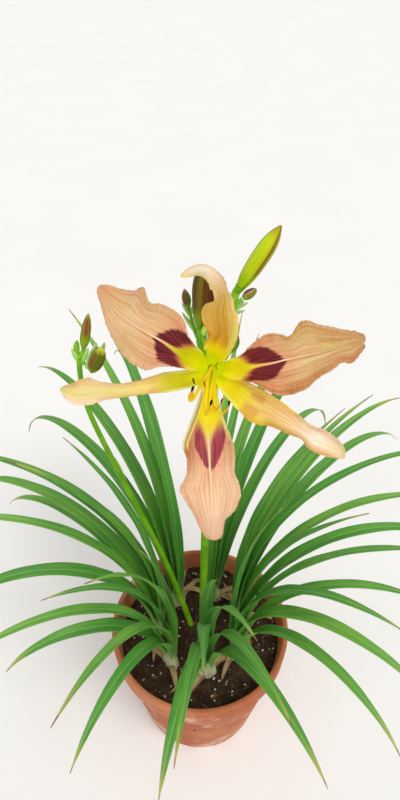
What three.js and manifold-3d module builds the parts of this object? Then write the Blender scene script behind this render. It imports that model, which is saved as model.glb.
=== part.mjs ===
// A daylily plant in a plain clay pot, in millimetres, +Z up, with its origin at the centre of the pot's foot.
//
// Seven fans of strap leaves and two flower stalks (scapes) stand in plain holes in the soil. The tall scape carries
// one open flower, which faces -Y and a little up, and a cluster of buds behind it. The shorter scape leans away to
// the left with two more buds. A flower has three broad inner tepals (petals) and three narrow outer ones (sepals),
// grown together into a short tube, six stamens and a pistil.
import * as THREE from "three";
import { LoftGeometry } from "three/addons/geometries/LoftGeometry.js";
import { mergeVertices } from "three/addons/utils/BufferGeometryUtils.js";
import Module from "manifold-3d";

const wasm = await Module();
wasm.setup();
const { degToRad } = THREE.MathUtils;

// ---------------------------------------------------------------- driving sizes

const GAP = 0.4; // kept between two pieces that touch

const POT_HEIGHT = 210;
const POT_RIM_RADIUS = 125;
const POT_FOOT_RADIUS = 88;
const POT_WALL = 7;
const POT_FLOOR = 9;
const RIM_BAND = 34; // height of the thick band below the rim
const RIM_STEP = 6; // how far that band stands out of the wall
const POT_SIDES = 32;
const DRAINS = 3;
const DRAIN_RADIUS = 6;
const DRAIN_CIRCLE = 45;

const SOIL_EDGE = 180; // height of the soil at the pot's wall
const SOIL_CROWN = 185; // and in the middle
const ROOT_DEPTH = 150; // height at which fans and scapes end in the soil

const FANS = 7;
const LEAVES_PER_FAN = 7;
const FAN_CIRCLE = 60; // distance of a fan from the pot's axis
const FIRST_FAN = 21.4; // its heading, in degrees, which leaves the gap at 150 degrees to the side scape
const FAN_WIDTH = 26; // of the flat sheath at the fan's foot
const FAN_DEPTH = 15;
const LEAF_THICKNESS = 0.8;
const LEAF_STEPS = 40; // steps in which a leaf's spine is worked out
const LEAF_ROWS = 6; // and rows of faces along its blade

const BLOOM_CENTRE = [9, -119, 753];
const BLOOM_ELEVATION = 40; // degrees that the flower's face looks up
const TEPAL_THICKNESS = 0.8;
const TEPAL_ACROSS = 6;
const THROAT_DEPTH = 20; // of the tube's mouth behind the flower's centre
const TUBE_LENGTH = 43;

// ---------------------------------------------------------------- helpers

const vector = ([x, y, z]) => new THREE.Vector3(x, y, z);

// A closed geometry as a manifold-3d solid.
function solid(geometry) {
  const bare = new THREE.BufferGeometry();
  bare.setAttribute("position", geometry.getAttribute("position"));
  bare.setIndex(geometry.getIndex());
  const merged = mergeVertices(bare, 1e-3);
  const corners = merged.index.array;
  const faces = [];
  for (let i = 0; i < corners.length; i += 3) {
    const [a, b, c] = corners.slice(i, i + 3);
    if (a !== b && b !== c && c !== a) faces.push(a, b, c);
  }
  return new wasm.Manifold(
    new wasm.Mesh({
      numProp: 3,
      vertProperties: merged.attributes.position.array,
      triVerts: new Uint32Array(faces),
    }),
  );
}

// The solid's surface as a three.js geometry.
function geometryOf(body) {
  const { numProp, numVert, vertProperties, triVerts } = body.getMesh();
  const positions = new Float32Array(numVert * 3);
  for (let i = 0; i < numVert; i += 1) {
    positions.set(vertProperties.subarray(i * numProp, i * numProp + 3), i * 3);
  }
  const geometry = new THREE.BufferGeometry();
  geometry.setAttribute("position", new THREE.BufferAttribute(positions, 3));
  geometry.setIndex(new THREE.BufferAttribute(triVerts, 1));
  geometry.computeVertexNormals();
  return geometry;
}

// One solid of closed geometries that meet. Of its bodies the largest is the piece: the others are the walls of
// pockets that the parts close off between them, which are left filled.
function joined(geometries) {
  const whole = geometries.map(solid).reduce((all, next) => all.add(next));
  return whole.decompose().reduce((most, body) => (body.volume() > most.volume() ? body : most));
}

function piece(name, geometry, material) {
  const mesh = new THREE.Mesh(geometry, material);
  mesh.name = name;
  return mesh;
}

// A smooth curve through the rows of a table, at share t of the way from the first row to the last.
function along(rows, t) {
  const last = rows.length - 1;
  const i = Math.min(Math.floor(t * last), last - 1);
  const f = t * last - i;
  const row = (j) => rows[Math.max(0, Math.min(last, j))];
  return rows[0].map((_, column) => {
    const [a, b, c, d] = [row(i - 1), row(i), row(i + 1), row(i + 2)].map((r) => r[column]);
    const bend = 2 * a - 5 * b + 4 * c - d;
    const turn = 3 * b - a - 3 * c + d;
    return b + 0.5 * ((c - a) * f + bend * f * f + turn * f * f * f);
  });
}

// A number from 0 to 1 that is always the same for the same key.
function draw(key) {
  const wave = Math.sin(key * 12.9898) * 43758.5453;
  return wave - Math.floor(wave);
}

// Rings square to a path: each row of the table is x, y, z and the ring's radius.
function tube(rows, steps, sides) {
  const stations = Array.from({ length: steps + 1 }, (_, i) => along(rows, i / steps));
  const points = stations.map(vector);
  let side = new THREE.Vector3(1, 0, 0);
  const rings = points.map((point, i) => {
    const before = points[Math.max(i - 1, 0)];
    const tangent = points[Math.min(i + 1, steps)].clone().sub(before).normalize();
    side = side.clone().addScaledVector(tangent, -side.dot(tangent)).normalize();
    const up = new THREE.Vector3().crossVectors(tangent, side);
    return Array.from({ length: sides }, (_, j) => {
      const turn = (j / sides) * 2 * Math.PI;
      const out = side.clone().multiplyScalar(Math.cos(turn)).addScaledVector(up, Math.sin(turn));
      return point.clone().addScaledVector(out, stations[i][3]);
    });
  });
  return new LoftGeometry(rings, { capStart: true, capEnd: true });
}

// A thin closed blade about a surface, at(u, v), with u from 0 to 1 along it and v from -1 to 1 across it. Its two
// faces are split into triangles alike, so that they stay apart however the blade waves.
function blade(at, rows, columns, thickness) {
  const SLIGHT = 1e-3;
  const positions = [];
  for (const half of [thickness / 2, -thickness / 2]) {
    for (let i = 0; i <= rows; i += 1) {
      for (let j = 0; j <= columns; j += 1) {
        const u = i / rows;
        const v = (2 * j) / columns - 1;
        const forward = at(Math.min(u + SLIGHT, 1), v).sub(at(Math.max(u - SLIGHT, 0), v));
        const across = at(u, Math.min(v + SLIGHT, 1)).sub(at(u, Math.max(v - SLIGHT, -1)));
        const normal = forward.cross(across).normalize();
        positions.push(...at(u, v).addScaledVector(normal, half));
      }
    }
  }
  const back = (rows + 1) * (columns + 1);
  const corner = (i, j) => i * (columns + 1) + j;
  const faces = [];
  const wall = (a, b) => faces.push(b, a, a + back, b, a + back, b + back);
  for (let i = 0; i < rows; i += 1) {
    for (let j = 0; j < columns; j += 1) {
      const [a, b, c, d] = [corner(i, j), corner(i + 1, j), corner(i + 1, j + 1), corner(i, j + 1)];
      faces.push(a, b, c, a, c, d);
      faces.push(a + back, c + back, b + back, a + back, d + back, c + back);
    }
    wall(corner(i, 0), corner(i + 1, 0));
    wall(corner(i + 1, columns), corner(i, columns));
  }
  for (let j = 0; j < columns; j += 1) {
    wall(corner(0, j + 1), corner(0, j));
    wall(corner(rows, j), corner(rows, j + 1));
  }
  const geometry = new THREE.BufferGeometry();
  geometry.setAttribute("position", new THREE.Float32BufferAttribute(positions, 3));
  geometry.setIndex(faces);
  return geometry;
}

// A solid of revolution about +Z from [radius, height] pairs that go anticlockwise round its section.
function turned(profile, sides) {
  const points = profile.map(([radius, height]) => new THREE.Vector2(radius, height));
  return new THREE.LatheGeometry(points, sides).rotateX(Math.PI / 2);
}

// A round or oval plug with flat ends that stands from one height to another, for fan feet and for holes.
function plug(radiusX, radiusY, low, high, sides = 12) {
  const rod = new THREE.CylinderGeometry(1, 1, high - low, sides).rotateX(Math.PI / 2);
  return rod.scale(radiusX, radiusY, 1).translate(0, 0, (low + high) / 2);
}

// ---------------------------------------------------------------- materials

const matte = (color, roughness) => new THREE.MeshStandardMaterial({ color, roughness, metalness: 0 });
const clay = matte(0xb4684a, 0.85);
const compost = matte(0x3b2a20, 0.95);
const leafGreen = matte(0x4f9a3c, 0.5);
const stalkGreen = matte(0x6fae3f, 0.5);
const budSkin = matte(0x8a5a2c, 0.5);
const tepalSkin = matte(0xe9a876, 0.55);
const stamenYellow = matte(0xf0b81c, 0.5);
const pistilYellow = matte(0xf2dc7a, 0.5);

// ---------------------------------------------------------------- pot and soil

const wallTop = POT_HEIGHT - RIM_BAND;
const bandFoot = POT_RIM_RADIUS - RIM_STEP; // outer radius of the wall where the band begins
const innerRadius = (height) => {
  const share = height / wallTop;
  return POT_FOOT_RADIUS + (bandFoot - POT_FOOT_RADIUS) * share - POT_WALL;
};

function pot() {
  const body = turned(
    [
      [0, 0],
      [POT_FOOT_RADIUS - 3, 0],
      [POT_FOOT_RADIUS, 3],
      [bandFoot - 1, wallTop],
      [POT_RIM_RADIUS - 2, wallTop + 3],
      [POT_RIM_RADIUS, POT_HEIGHT - 4],
      [POT_RIM_RADIUS - 4, POT_HEIGHT],
      [innerRadius(POT_HEIGHT) + 2, POT_HEIGHT],
      [innerRadius(POT_HEIGHT), POT_HEIGHT - 3],
      [innerRadius(POT_FLOOR), POT_FLOOR],
      [0, POT_FLOOR],
    ],
    POT_SIDES,
  );
  const drains = Array.from({ length: DRAINS }, (_, i) => {
    const turn = (2 * Math.PI * i) / DRAINS;
    const hole = plug(DRAIN_RADIUS, DRAIN_RADIUS, -1, POT_FLOOR + 1, 12);
    return solid(hole.translate(DRAIN_CIRCLE * Math.cos(turn), DRAIN_CIRCLE * Math.sin(turn), 0));
  });
  return drains.reduce((rest, hole) => rest.subtract(hole), solid(body));
}

function soil(holes) {
  const low = POT_FLOOR + GAP;
  const body = turned(
    [
      [0, low],
      [innerRadius(low) - GAP, low],
      [innerRadius(SOIL_EDGE) - GAP, SOIL_EDGE],
      [innerRadius(SOIL_EDGE) / 2, SOIL_CROWN - 1.5],
      [0, SOIL_CROWN],
    ],
    POT_SIDES,
  );
  return holes.reduce((rest, hole) => rest.subtract(solid(hole)), solid(body));
}

// ---------------------------------------------------------------- leaves

const fanHeading = (fan) => FIRST_FAN + (fan * 360) / FANS;

function fanPlace(geometry, fan) {
  const turn = degToRad(fanHeading(fan));
  const spot = [FAN_CIRCLE * Math.cos(turn), FAN_CIRCLE * Math.sin(turn), 0];
  return geometry.rotateZ(turn).translate(...spot);
}

// One leaf of a fan, from the upright young one in the middle (leaf 0) to the old arching one outside. Angles are in
// degrees: rise is the leaf's slope at its foot and droop its slope at the tip.
function leafForm(fan, leaf) {
  const age = leaf / (LEAVES_PER_FAN - 1);
  const side = leaf % 2 ? 1 : -1;
  const chance = (n) => draw(fan * 31 + leaf * 7 + n * 101) - 0.5;
  const back = Math.sin(degToRad(fanHeading(fan)));
  return {
    heading: fanHeading(fan) + side * (4 + 17 * age) + 5 * chance(1),
    foot: side * (1 + 6 * age),
    depth: 9 * age - 4.5,
    rise: 92 - 14 * age + 3 * chance(2),
    droop: 45 - 110 * age ** 0.8 + 30 * chance(3) - 12 * back,
    length: 375 + 60 * Math.sin(Math.PI * age) + 50 * chance(4) + 85 * back,
    halfWidth: 10.5 + 2.5 * chance(5) - 2 * (1 - age),
    sway: 9 * chance(6),
    roll: 24 * chance(7),
  };
}

// The points of the leaf's midrib, evenly spaced, with the leaf bending over ever faster.
function leafSpine(fan, form) {
  const BEND = 1.7;
  const turn = degToRad(fanHeading(fan));
  const point = new THREE.Vector3(
    (FAN_CIRCLE + form.depth) * Math.cos(turn) - form.foot * Math.sin(turn),
    (FAN_CIRCLE + form.depth) * Math.sin(turn) + form.foot * Math.cos(turn),
    SOIL_CROWN + 8,
  );
  const points = [point.clone()];
  for (let i = 0; i < LEAF_STEPS; i += 1) {
    const t = (i + 0.5) / LEAF_STEPS;
    const slope = degToRad(form.rise + (form.droop - form.rise) * t ** BEND);
    const heading = degToRad(form.heading + form.sway * t);
    const step = form.length / LEAF_STEPS;
    point.x += step * Math.cos(slope) * Math.cos(heading);
    point.y += step * Math.cos(slope) * Math.sin(heading);
    point.z += step * Math.sin(slope);
    points.push(point.clone());
  }
  return points;
}

// A strap with a keel: folded at the foot, nearly flat at the tip, and widest at a third of its length.
function leaf(fan, number) {
  const form = leafForm(fan, number);
  const spine = leafSpine(fan, form);
  const at = (u, v) => {
    const place = u * LEAF_STEPS;
    const i = Math.min(Math.floor(place), LEAF_STEPS - 1);
    const point = spine[i].clone().lerp(spine[i + 1], place - i);
    const heading = degToRad(form.heading + form.sway * u);
    const slope = degToRad(form.rise + (form.droop - form.rise) * u ** 1.7);
    const side = new THREE.Vector3(-Math.sin(heading), Math.cos(heading), 0);
    const up = new THREE.Vector3(
      -Math.sin(slope) * Math.cos(heading),
      -Math.sin(slope) * Math.sin(heading),
      Math.cos(slope),
    );
    const roll = degToRad(form.roll * u);
    const across = side.clone().multiplyScalar(Math.cos(roll)).addScaledVector(up, Math.sin(roll));
    const above = up.clone().multiplyScalar(Math.cos(roll)).addScaledVector(side, -Math.sin(roll));
    const fold = degToRad(10 + 48 * (1 - u) ** 3);
    const opening = Math.min(1, 0.6 + 1.3 * u);
    const half = Math.max(0.9, form.halfWidth * opening * (1 - u ** 3));
    point.addScaledVector(across, v * half * Math.cos(fold));
    return point.addScaledVector(above, Math.abs(v) * half * Math.sin(fold));
  };
  return blade((u, v) => at(u ** 0.85, v), LEAF_ROWS, 2, LEAF_THICKNESS);
}

// The sheath that the leaves of a fan grow out of: it stands in the soil and narrows upwards.
function fanFoot(fan) {
  const rings = [
    [ROOT_DEPTH, 1],
    [SOIL_CROWN + 6, 1],
    [SOIL_CROWN + 34, 0.6],
  ].map(([height, share]) =>
    Array.from({ length: 12 }, (_, j) => {
      const turn = (j / 12) * 2 * Math.PI;
      const [x, y] = [(FAN_DEPTH / 2) * Math.cos(turn), (FAN_WIDTH / 2) * Math.sin(turn)];
      return new THREE.Vector3(x * share, y * share, height);
    }),
  );
  return fanPlace(new LoftGeometry(rings, { capStart: true, capEnd: true }), fan);
}

const fanHole = (fan) =>
  fanPlace(plug(FAN_DEPTH / 2 + GAP, FAN_WIDTH / 2 + GAP, ROOT_DEPTH - GAP, SOIL_CROWN + 5), fan);

function leafFan(fan) {
  const leaves = Array.from({ length: LEAVES_PER_FAN }, (_, number) => leaf(fan, number));
  return joined([fanFoot(fan), ...leaves]);
}

// ---------------------------------------------------------------- buds and scapes

// A bud's radius, as a share of its largest, at even steps from its foot to its tip.
const BUD_SHAPE = [[0.42], [0.72], [0.93], [1], [0.96], [0.8], [0.5], [0.12]];

function bud({ foot, tip, radius }) {
  const [start, end] = [vector(foot), vector(tip)];
  start.addScaledVector(end.clone().sub(start).normalize(), 2 * GAP);
  const rows = BUD_SHAPE.map(([share], i) => {
    const point = start.clone().lerp(end, i / (BUD_SHAPE.length - 1));
    return [...point, radius * share];
  });
  return tube(rows, radius > 5 ? 9 : 7, radius > 5 ? 9 : 7);
}

// A small leaf-like scale at a fork of the stalk.
function bract({ foot, tip, halfWidth }) {
  const [start, end] = [vector(foot), vector(tip)];
  const ahead = end.clone().sub(start).normalize();
  const side = new THREE.Vector3(0, 0, 1).cross(ahead).normalize();
  const above = new THREE.Vector3().crossVectors(ahead, side);
  const at = (u, v) => {
    const half = Math.max(0.5, halfWidth * (1 - u * u) * (0.6 + u));
    const point = start.clone().lerp(end, u);
    return point.addScaledVector(side, v * half).addScaledVector(above, 0.5 * half * v * v);
  };
  return blade(at, 4, 2, 0.7);
}

// A stem to a bud: it starts with the given rows and ends square to the bud's axis, just short of it.
function stemTo({ foot, tip }, rows, radius) {
  const [start, end] = [vector(foot), vector(tip)];
  const ahead = end.sub(start).normalize();
  const before = start.clone().addScaledVector(ahead, -2.4 * radius);
  return tube([...rows, [...before, radius], [...start, radius * 1.15]], 6, 6);
}

const SCAPE_FOOT = [4, 6];
const SCAPE_RADIUS = 5.2;
const FORK = [10, -44, 700];

const BUDS = {
  bud_large: { foot: [-2, -29, 726], tip: [4.6, -33, 786], radius: 8.8 },
  bud_tall: { foot: [29.5, -8, 751], tip: [66, -10, 807], radius: 7.4 },
  bud_small_left: { foot: [-9.5, -14, 738], tip: [-13, -12, 754], radius: 3.6 },
  bud_small_right: { foot: [36, -14, 745], tip: [48, -10, 752], radius: 3.8 },
  bud_small_low: { foot: [27, -50, 720], tip: [30, -52, 737], radius: 3.8 },
  bud_small_round: { foot: [1, -37, 727], tip: [4, -41, 740], radius: 3.6 },
};

const STEMS = [
  { bud: "bud_large", rows: [[...FORK, 3.2], [5, -39, 706, 3.1], [-0.5, -32, 712, 3.1]], radius: 3.2 },
  { bud: "bud_tall", rows: [[...FORK, 3.2], [14, -34, 714, 3.1], [21, -18, 731, 3.1]], radius: 3.2 },
  { bud: "bud_small_left", rows: [[4, -38, 709, 2], [-4, -27, 721, 1.7], [-8, -17, 731, 1.5]], radius: 1.5 },
  { bud: "bud_small_right", rows: [[20, -26, 727, 2], [26, -21, 736, 1.7], [30, -17, 741, 1.5]], radius: 1.5 },
  { bud: "bud_small_low", rows: [[11, -42, 700, 2], [19, -44, 707, 1.7], [25, -48, 713, 1.5]], radius: 1.5 },
  { bud: "bud_small_round", rows: [[5, -40, 708, 2], [2, -38, 715, 1.7], [0.8, -37, 721, 1.5]], radius: 1.5 },
];

const BRACTS = [
  { foot: [9, -40, 694], tip: [0, -24, 712], halfWidth: 3.4 },
  { foot: [12, -42, 699], tip: [24, -30, 710], halfWidth: 3 },
  { foot: [-3, -27, 720], tip: [-15, -20, 736], halfWidth: 2.4 },
  { foot: [23, -20, 734], tip: [37, -24, 740], halfWidth: 2.4 },
  { foot: [6, 0, 470], tip: [22, 8, 500], halfWidth: 4 },
];

// The flower's stem bends forward from the fork and ends square to the flower's tube.
function neck() {
  const back = new THREE.Vector3(0, Math.cos(degToRad(BLOOM_ELEVATION)), -Math.sin(degToRad(BLOOM_ELEVATION)));
  const behind = (distance) => [...vector(BLOOM_CENTRE).addScaledVector(back, distance)];
  const depth = THROAT_DEPTH + TUBE_LENGTH + GAP;
  return tube(
    [
      [10, -41, 688, 3.4],
      [10, -48, 699, 3.2],
      [9.5, -58, 704, 3.2],
      [...behind(depth + 4), 3.4],
      [...behind(depth), 3.8],
    ],
    6,
    9,
  );
}

// A stalk stands upright in the soil and bends only above it.
function stalk([x, y], radius, rows, steps, sides) {
  const upright = plug(radius, radius, ROOT_DEPTH, SOIL_CROWN + 12).translate(x, y, 0);
  return [upright, tube([[x, y, SOIL_CROWN + 6, radius], ...rows], steps, sides)];
}

function mainScape() {
  const rows = [
    [5, 5, 320, 4.9],
    [6.5, -3, 450, 4.5],
    [8, -18, 580, 4.1],
    [...FORK, 3.6],
  ];
  const stems = STEMS.map(({ bud, rows, radius }) => stemTo(BUDS[bud], rows, radius));
  return joined([...stalk(SCAPE_FOOT, SCAPE_RADIUS, rows, 12, 9), neck(), ...stems, ...BRACTS.map(bract)]);
}

const SIDE_FOOT = [-15, 13];
const SIDE_RADIUS = 4.2;
const SIDE_FORK = [-130, 78, 618];

const SIDE_BUDS = {
  side_bud_upright: { foot: [-126, 84, 628], tip: [-118, 87, 671], radius: 5.2 },
  side_bud_broad: { foot: [-113, 62, 613], tip: [-99, 57, 645], radius: 7.8 },
};

const SIDE_STEMS = [
  { bud: "side_bud_upright", rows: [[...SIDE_FORK, 2.4], [-128.5, 81, 621, 2.2]], radius: 2.1 },
  { bud: "side_bud_broad", rows: [[-130, 78, 615, 2.3], [-123, 71, 609, 2.2], [-117, 65, 608, 2.2]], radius: 2.2 },
];

// A bud too small to have a stem of its own yet.
const SIDE_BUDLET = [
  [-130, 79, 617, 1.8],
  [-136, 83, 624, 1.9],
  [-138, 84, 633, 2.6],
  [-138, 84, 641, 0.7],
];

const SIDE_BRACTS = [
  { foot: [-131, 79, 614], tip: [-146, 90, 628], halfWidth: 2.6 },
  { foot: [-128, 76, 614], tip: [-117, 80, 632], halfWidth: 2.6 },
  { foot: [-94, 57, 445], tip: [-106, 70, 474], halfWidth: 3.4 },
];

function sideScape() {
  const rows = [
    [-50, 33, 320, 3.9],
    [-90, 55, 430, 3.5],
    [-118, 71, 535, 3.1],
    [...SIDE_FORK, 2.7],
  ];
  const stems = SIDE_STEMS.map(({ bud, rows, radius }) => stemTo(SIDE_BUDS[bud], rows, radius));
  const budlet = tube(SIDE_BUDLET, 5, 7);
  return joined([...stalk(SIDE_FOOT, SIDE_RADIUS, rows, 11, 8), budlet, ...stems, ...SIDE_BRACTS.map(bract)]);
}

const scapeHole = ([x, y], radius) =>
  plug(radius + GAP, radius + GAP, ROOT_DEPTH - GAP, SOIL_CROWN + 5).translate(x, y, 0);

// ---------------------------------------------------------------- the flower, in its own frame
//
// x is to the right and y up as the flower is faced, and z comes out of its face. A tepal runs from the throat along
// its heading, in degrees anticlockwise from x. Each row of its table is a station of its midrib:
// reach from the centre, sway to the left of the heading, lift out of the face, half width to the left and to the
// right, and the angle by which the left and the right edge curl up, or back where it is negative.

const TEPALS = {
  petal_lower: {
    heading: 270,
    ruffle: 1.6,
    waves: 3.2,
    rows: [
      [8.6, 0, -17.5, 4.9, 4.9, 40, 40],
      [18, -1.5, -9, 6, 8.5, 45, 55],
      [34, -2.8, 1, 11.5, 15.5, 40, 75],
      [50, -3.2, 6, 17.5, 19.5, 20, 55],
      [66, -2.4, 8, 18, 17, 25, 35],
      [82, -1.3, 7, 20.5, 21.5, -15, -15],
      [98, -0.4, 3, 16, 15, -10, -10],
      [111, 0, -3, 8.5, 9.5, 10, 10],
      [121, 0, -9, 2.5, 3, 0, 0],
    ],
  },
  petal_right: {
    heading: 10,
    ruffle: 1.6,
    waves: 4.5,
    rows: [
      [8.6, -1, -17.5, 4.9, 4.9, 40, 40],
      [13, -4, -5, 8, 7, 50, 50],
      [20.5, -4.7, 6, 10.3, 9, 40, 35],
      [28.5, -4.8, 12, 15.5, 13, 30, 25],
      [38, -5, 16, 20, 22, 20, 10],
      [50, -4.2, 19, 15.5, 23.5, 35, 0],
      [60, -3.8, 19, 22.1, 21.4, 20, -5],
      [67, -3.6, 18, 21.7, 18.3, 10, -10],
      [75, -3, 16, 17.8, 14.7, 5, -10],
      [84, -2, 12, 13.5, 11.5, 0, -5],
      [93, -0.8, 7, 8.6, 12.3, 10, 0],
      [101, -0.2, 1, 7.8, 7.2, 20, 10],
      [105.5, 1, -3, 4.5, 4, 20, 20],
      [108.5, 0, -7, 1, 1, 0, 0],
    ],
  },
  petal_left: {
    heading: 144,
    ruffle: 1.6,
    waves: 4.5,
    rows: [
      [8.6, 1, -17.5, 4.9, 4.9, 40, 40],
      [13, 2.8, -6, 8.2, 8, 50, 55],
      [21, 5, 7, 11, 10.8, 35, 50],
      [28.5, 6.4, 13, 16.2, 16.1, 20, 40],
      [36, 6.8, 16, 22.4, 22.3, 10, 30],
      [47, 8, 19, 22.8, 22.8, 0, 25],
      [56.5, 8.7, 17, 20.3, 19.5, -5, 35],
      [67, 8.8, 13, 14.7, 24.3, -10, 15],
      [76, 7.8, 8, 10.1, 18.4, -10, 5],
      [86, 5, 1, 6.6, 12, -10, 0],
      [95, 1.6, -6, 4, 5.6, 0, 0],
      [99, 0, -10, 1, 1, 0, 0],
    ],
  },
  sepal_top: {
    heading: 90,
    ruffle: 0.9,
    waves: 5,
    rows: [
      [8.6, -0.5, -17.5, 4.9, 4.9, 40, 40],
      [12, -3, -2, 9, 9, 45, 45],
      [22, -6.4, 12, 10.5, 10.5, 30, 30],
      [35.5, -4.9, 16, 12.5, 12, -15, -15],
      [44, -6.3, 14, 7.5, 8, -40, -20],
      [50.5, -5, 10, 6, 6.5, -60, -40],
      [58, -2.4, 5, 6.5, 6.5, -60, -50],
      [64, 1.2, 0, 6, 6, -60, -60],
      [68, 5.5, -5, 5.5, 5.5, -60, -60],
      [69.5, 11.5, -10, 4.6, 4.6, -60, -60],
      [68, 17.5, -13, 3.4, 3.4, -50, -50],
      [65.5, 22.5, -14, 1, 1, 0, 0],
    ],
  },
  sepal_left: {
    heading: 188.5,
    ruffle: 0.9,
    waves: 6,
    rows: [
      [8.6, 2, -17.5, 4.9, 4.9, 40, 40],
      [11, 4.6, -11, 6, 6, 40, 40],
      [24, 5.6, 0, 7.5, 7.5, 30, 40],
      [39, 6.4, 6, 7, 7.5, -45, -45],
      [53, 7, 8, 6.5, 6.5, -70, -70],
      [66, 6.9, 6, 6.5, 6.5, -70, -70],
      [79, 5, 2, 7.5, 7.5, -40, -40],
      [88, 4.2, -2, 9.5, 10.5, 10, 0],
      [97, 3.4, -5.5, 8.5, 8, 30, 20],
      [104, 1, -8, 5, 5, 30, 30],
      [108.8, -1, -10, 1, 1, 0, 0],
    ],
  },
  sepal_right: {
    heading: 325.5,
    ruffle: 0.9,
    waves: 6,
    rows: [
      [8.6, -1.5, -17.5, 4.9, 4.9, 40, 40],
      [13, -3, -9, 7.5, 7.5, 35, 35],
      [24, -4.2, 2, 10, 10, 30, 15],
      [33, -4.6, 5, 11.5, 11, 45, 0],
      [42.5, -4.4, 7, 12.5, 12, 60, -10],
      [51.5, -2.8, 8, 11, 10, 60, -30],
      [60, -2.2, 8, 9, 8.5, 50, -35],
      [69, -1.6, 6, 7.5, 7.5, 30, -35],
      [78, -1.4, 4, 6.5, 6.5, 0, -30],
      [88, -0.8, 0, 9, 8.5, 10, 20],
      [98, 0.7, -4, 8, 7.5, 30, 30],
      [107, 1.2, -8, 5, 5, 30, 30],
      [112.8, 0, -11, 1, 1, 0, 0],
    ],
  },
};

function tepal({ heading, ruffle, waves, rows }) {
  const SLIGHT = 0.01;
  const turn = degToRad(heading);
  const ahead = new THREE.Vector3(Math.cos(turn), Math.sin(turn), 0);
  const left = new THREE.Vector3(-Math.sin(turn), Math.cos(turn), 0);
  const out = new THREE.Vector3(0, 0, 1);
  const midrib = (u) => {
    const [reach, sway, lift] = along(rows, Math.max(0, Math.min(1, u)));
    return ahead.clone().multiplyScalar(reach).addScaledVector(left, sway).addScaledVector(out, lift);
  };
  const at = (u, v) => {
    const [, , , leftHalf, rightHalf, leftCurl, rightCurl] = along(rows, u);
    const tangent = midrib(u + SLIGHT).sub(midrib(u - SLIGHT)).normalize();
    const across = new THREE.Vector3().crossVectors(out, tangent).normalize();
    const above = new THREE.Vector3().crossVectors(tangent, across);
    const half = v > 0 ? leftHalf : rightHalf;
    const curl = degToRad(v > 0 ? leftCurl : rightCurl) || 1e-6;
    const share = Math.abs(v);
    const wide = (half * Math.sin(curl * share)) / curl;
    const high = (half * (1 - Math.cos(curl * share))) / curl;
    const fade = Math.min(1, 4 * u) * Math.min(1, 4 * (1 - u));
    const wave = ruffle * fade * share ** 3 * Math.sin(2 * Math.PI * waves * u + (v > 0 ? 0 : 2));
    return midrib(u).addScaledVector(across, Math.sign(v) * wide).addScaledVector(above, high + wave);
  };
  return blade(at, Math.round(1.4 * (rows.length - 1)), TEPAL_ACROSS, TEPAL_THICKNESS);
}

const TUBE_INSIDE = [
  [9.2, 5],
  [6.6, -2],
  [5, -9],
  [3.4, -20],
  [3, -30],
];

function flowerTube() {
  const wall = 1.1;
  const outside = TUBE_INSIDE.map(([radius, height]) => [radius + wall, height - 0.4]).reverse();
  const profile = [[0, -TUBE_LENGTH], [3.7, -TUBE_LENGTH], ...outside, ...TUBE_INSIDE, [0, -31]];
  return turned(profile, 16).translate(0, 0, -THROAT_DEPTH);
}

// Each stamen runs from the collar in the tube to its tip, where the dark anther hangs. Rows are points of the
// filament, and anther is the pair of its ends.
const STAMENS = [
  {
    rows: [[-6, -9, 14], [-10.5, -16.5, 33], [-14.9, -22.7, 47], [-14.6, -17.6, 55]],
    anther: [[-15, -18.5, 54.5], [-12.4, -10.4, 60]],
  },
  {
    rows: [[-3, -4, 15], [-5, -8.5, 38], [-6.6, -11, 53], [-6.9, -11.4, 59.2]],
    anther: [[-7.4, -9.5, 58.4], [-5.6, -16, 61]],
  },
  {
    rows: [[-1.4, -10.5, 12], [-3.4, -21, 30], [-5.3, -31.5, 44], [-2.8, -26.4, 54]],
    anther: [[-3.4, -27.6, 53.4], [-1.2, -21.4, 58.6]],
  },
  {
    rows: [[2.2, -10.5, 11], [1.6, -21, 28], [0.4, -29.6, 41], [3.1, -25.8, 49]],
    anther: [[2.6, -27, 48.4], [5.6, -21.4, 54]],
  },
  {
    rows: [[5, -9, 9], [6, -19.5, 24], [7, -31, 37], [9.4, -27.1, 45]],
    anther: [[9, -28, 44.4], [10.4, -22.4, 50]],
  },
  {
    rows: [[3.4, -4.5, 14], [5, -10.5, 31], [6, -16, 44], [7, -17, 50]],
    anther: [[6.8, -18.4, 50], [7.6, -12.4, 52.4]],
  },
];

const COLLAR = { inside: 1.9, outside: 3.1, low: -19, high: -15.5 };
const FILAMENT_TURNS = [190, 135, 240, 285, 330, 30]; // where they stand round the tube's axis

// A point at a turn, in degrees, and a distance from the tube's axis, at a height above the tube's mouth.
function tubePoint(turn, distance, height) {
  return [distance * Math.cos(degToRad(turn)), distance * Math.sin(degToRad(turn)), height - THROAT_DEPTH];
}

function stamens() {
  const { inside, outside, low, high } = COLLAR;
  const ring = [[inside, low], [outside - 0.1, low], [outside, high], [inside, high], [inside, low]];
  const collar = turned(ring, 12).translate(0, 0, -THROAT_DEPTH);
  const filaments = STAMENS.map(({ rows }, i) => {
    const foot = tubePoint(FILAMENT_TURNS[i], (inside + outside) / 2, low + 1.2);
    const mouth = tubePoint(FILAMENT_TURNS[i], 3.2, 6);
    const stations = [[...foot, 0.9], [...mouth, 1.1], ...rows.map((row, j) => [...row, 1.15 - 0.12 * j])];
    return tube(stations, 8, 5);
  });
  const anthers = STAMENS.map(({ anther }) => {
    const [start, end] = anther.map(vector);
    const rows = [0.5, 1, 1, 0.4].map((radius, i) => [...start.clone().lerp(end, i / 3), radius]);
    return tube(rows, 3, 5);
  });
  return joined([collar, ...filaments, ...anthers]);
}

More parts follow.
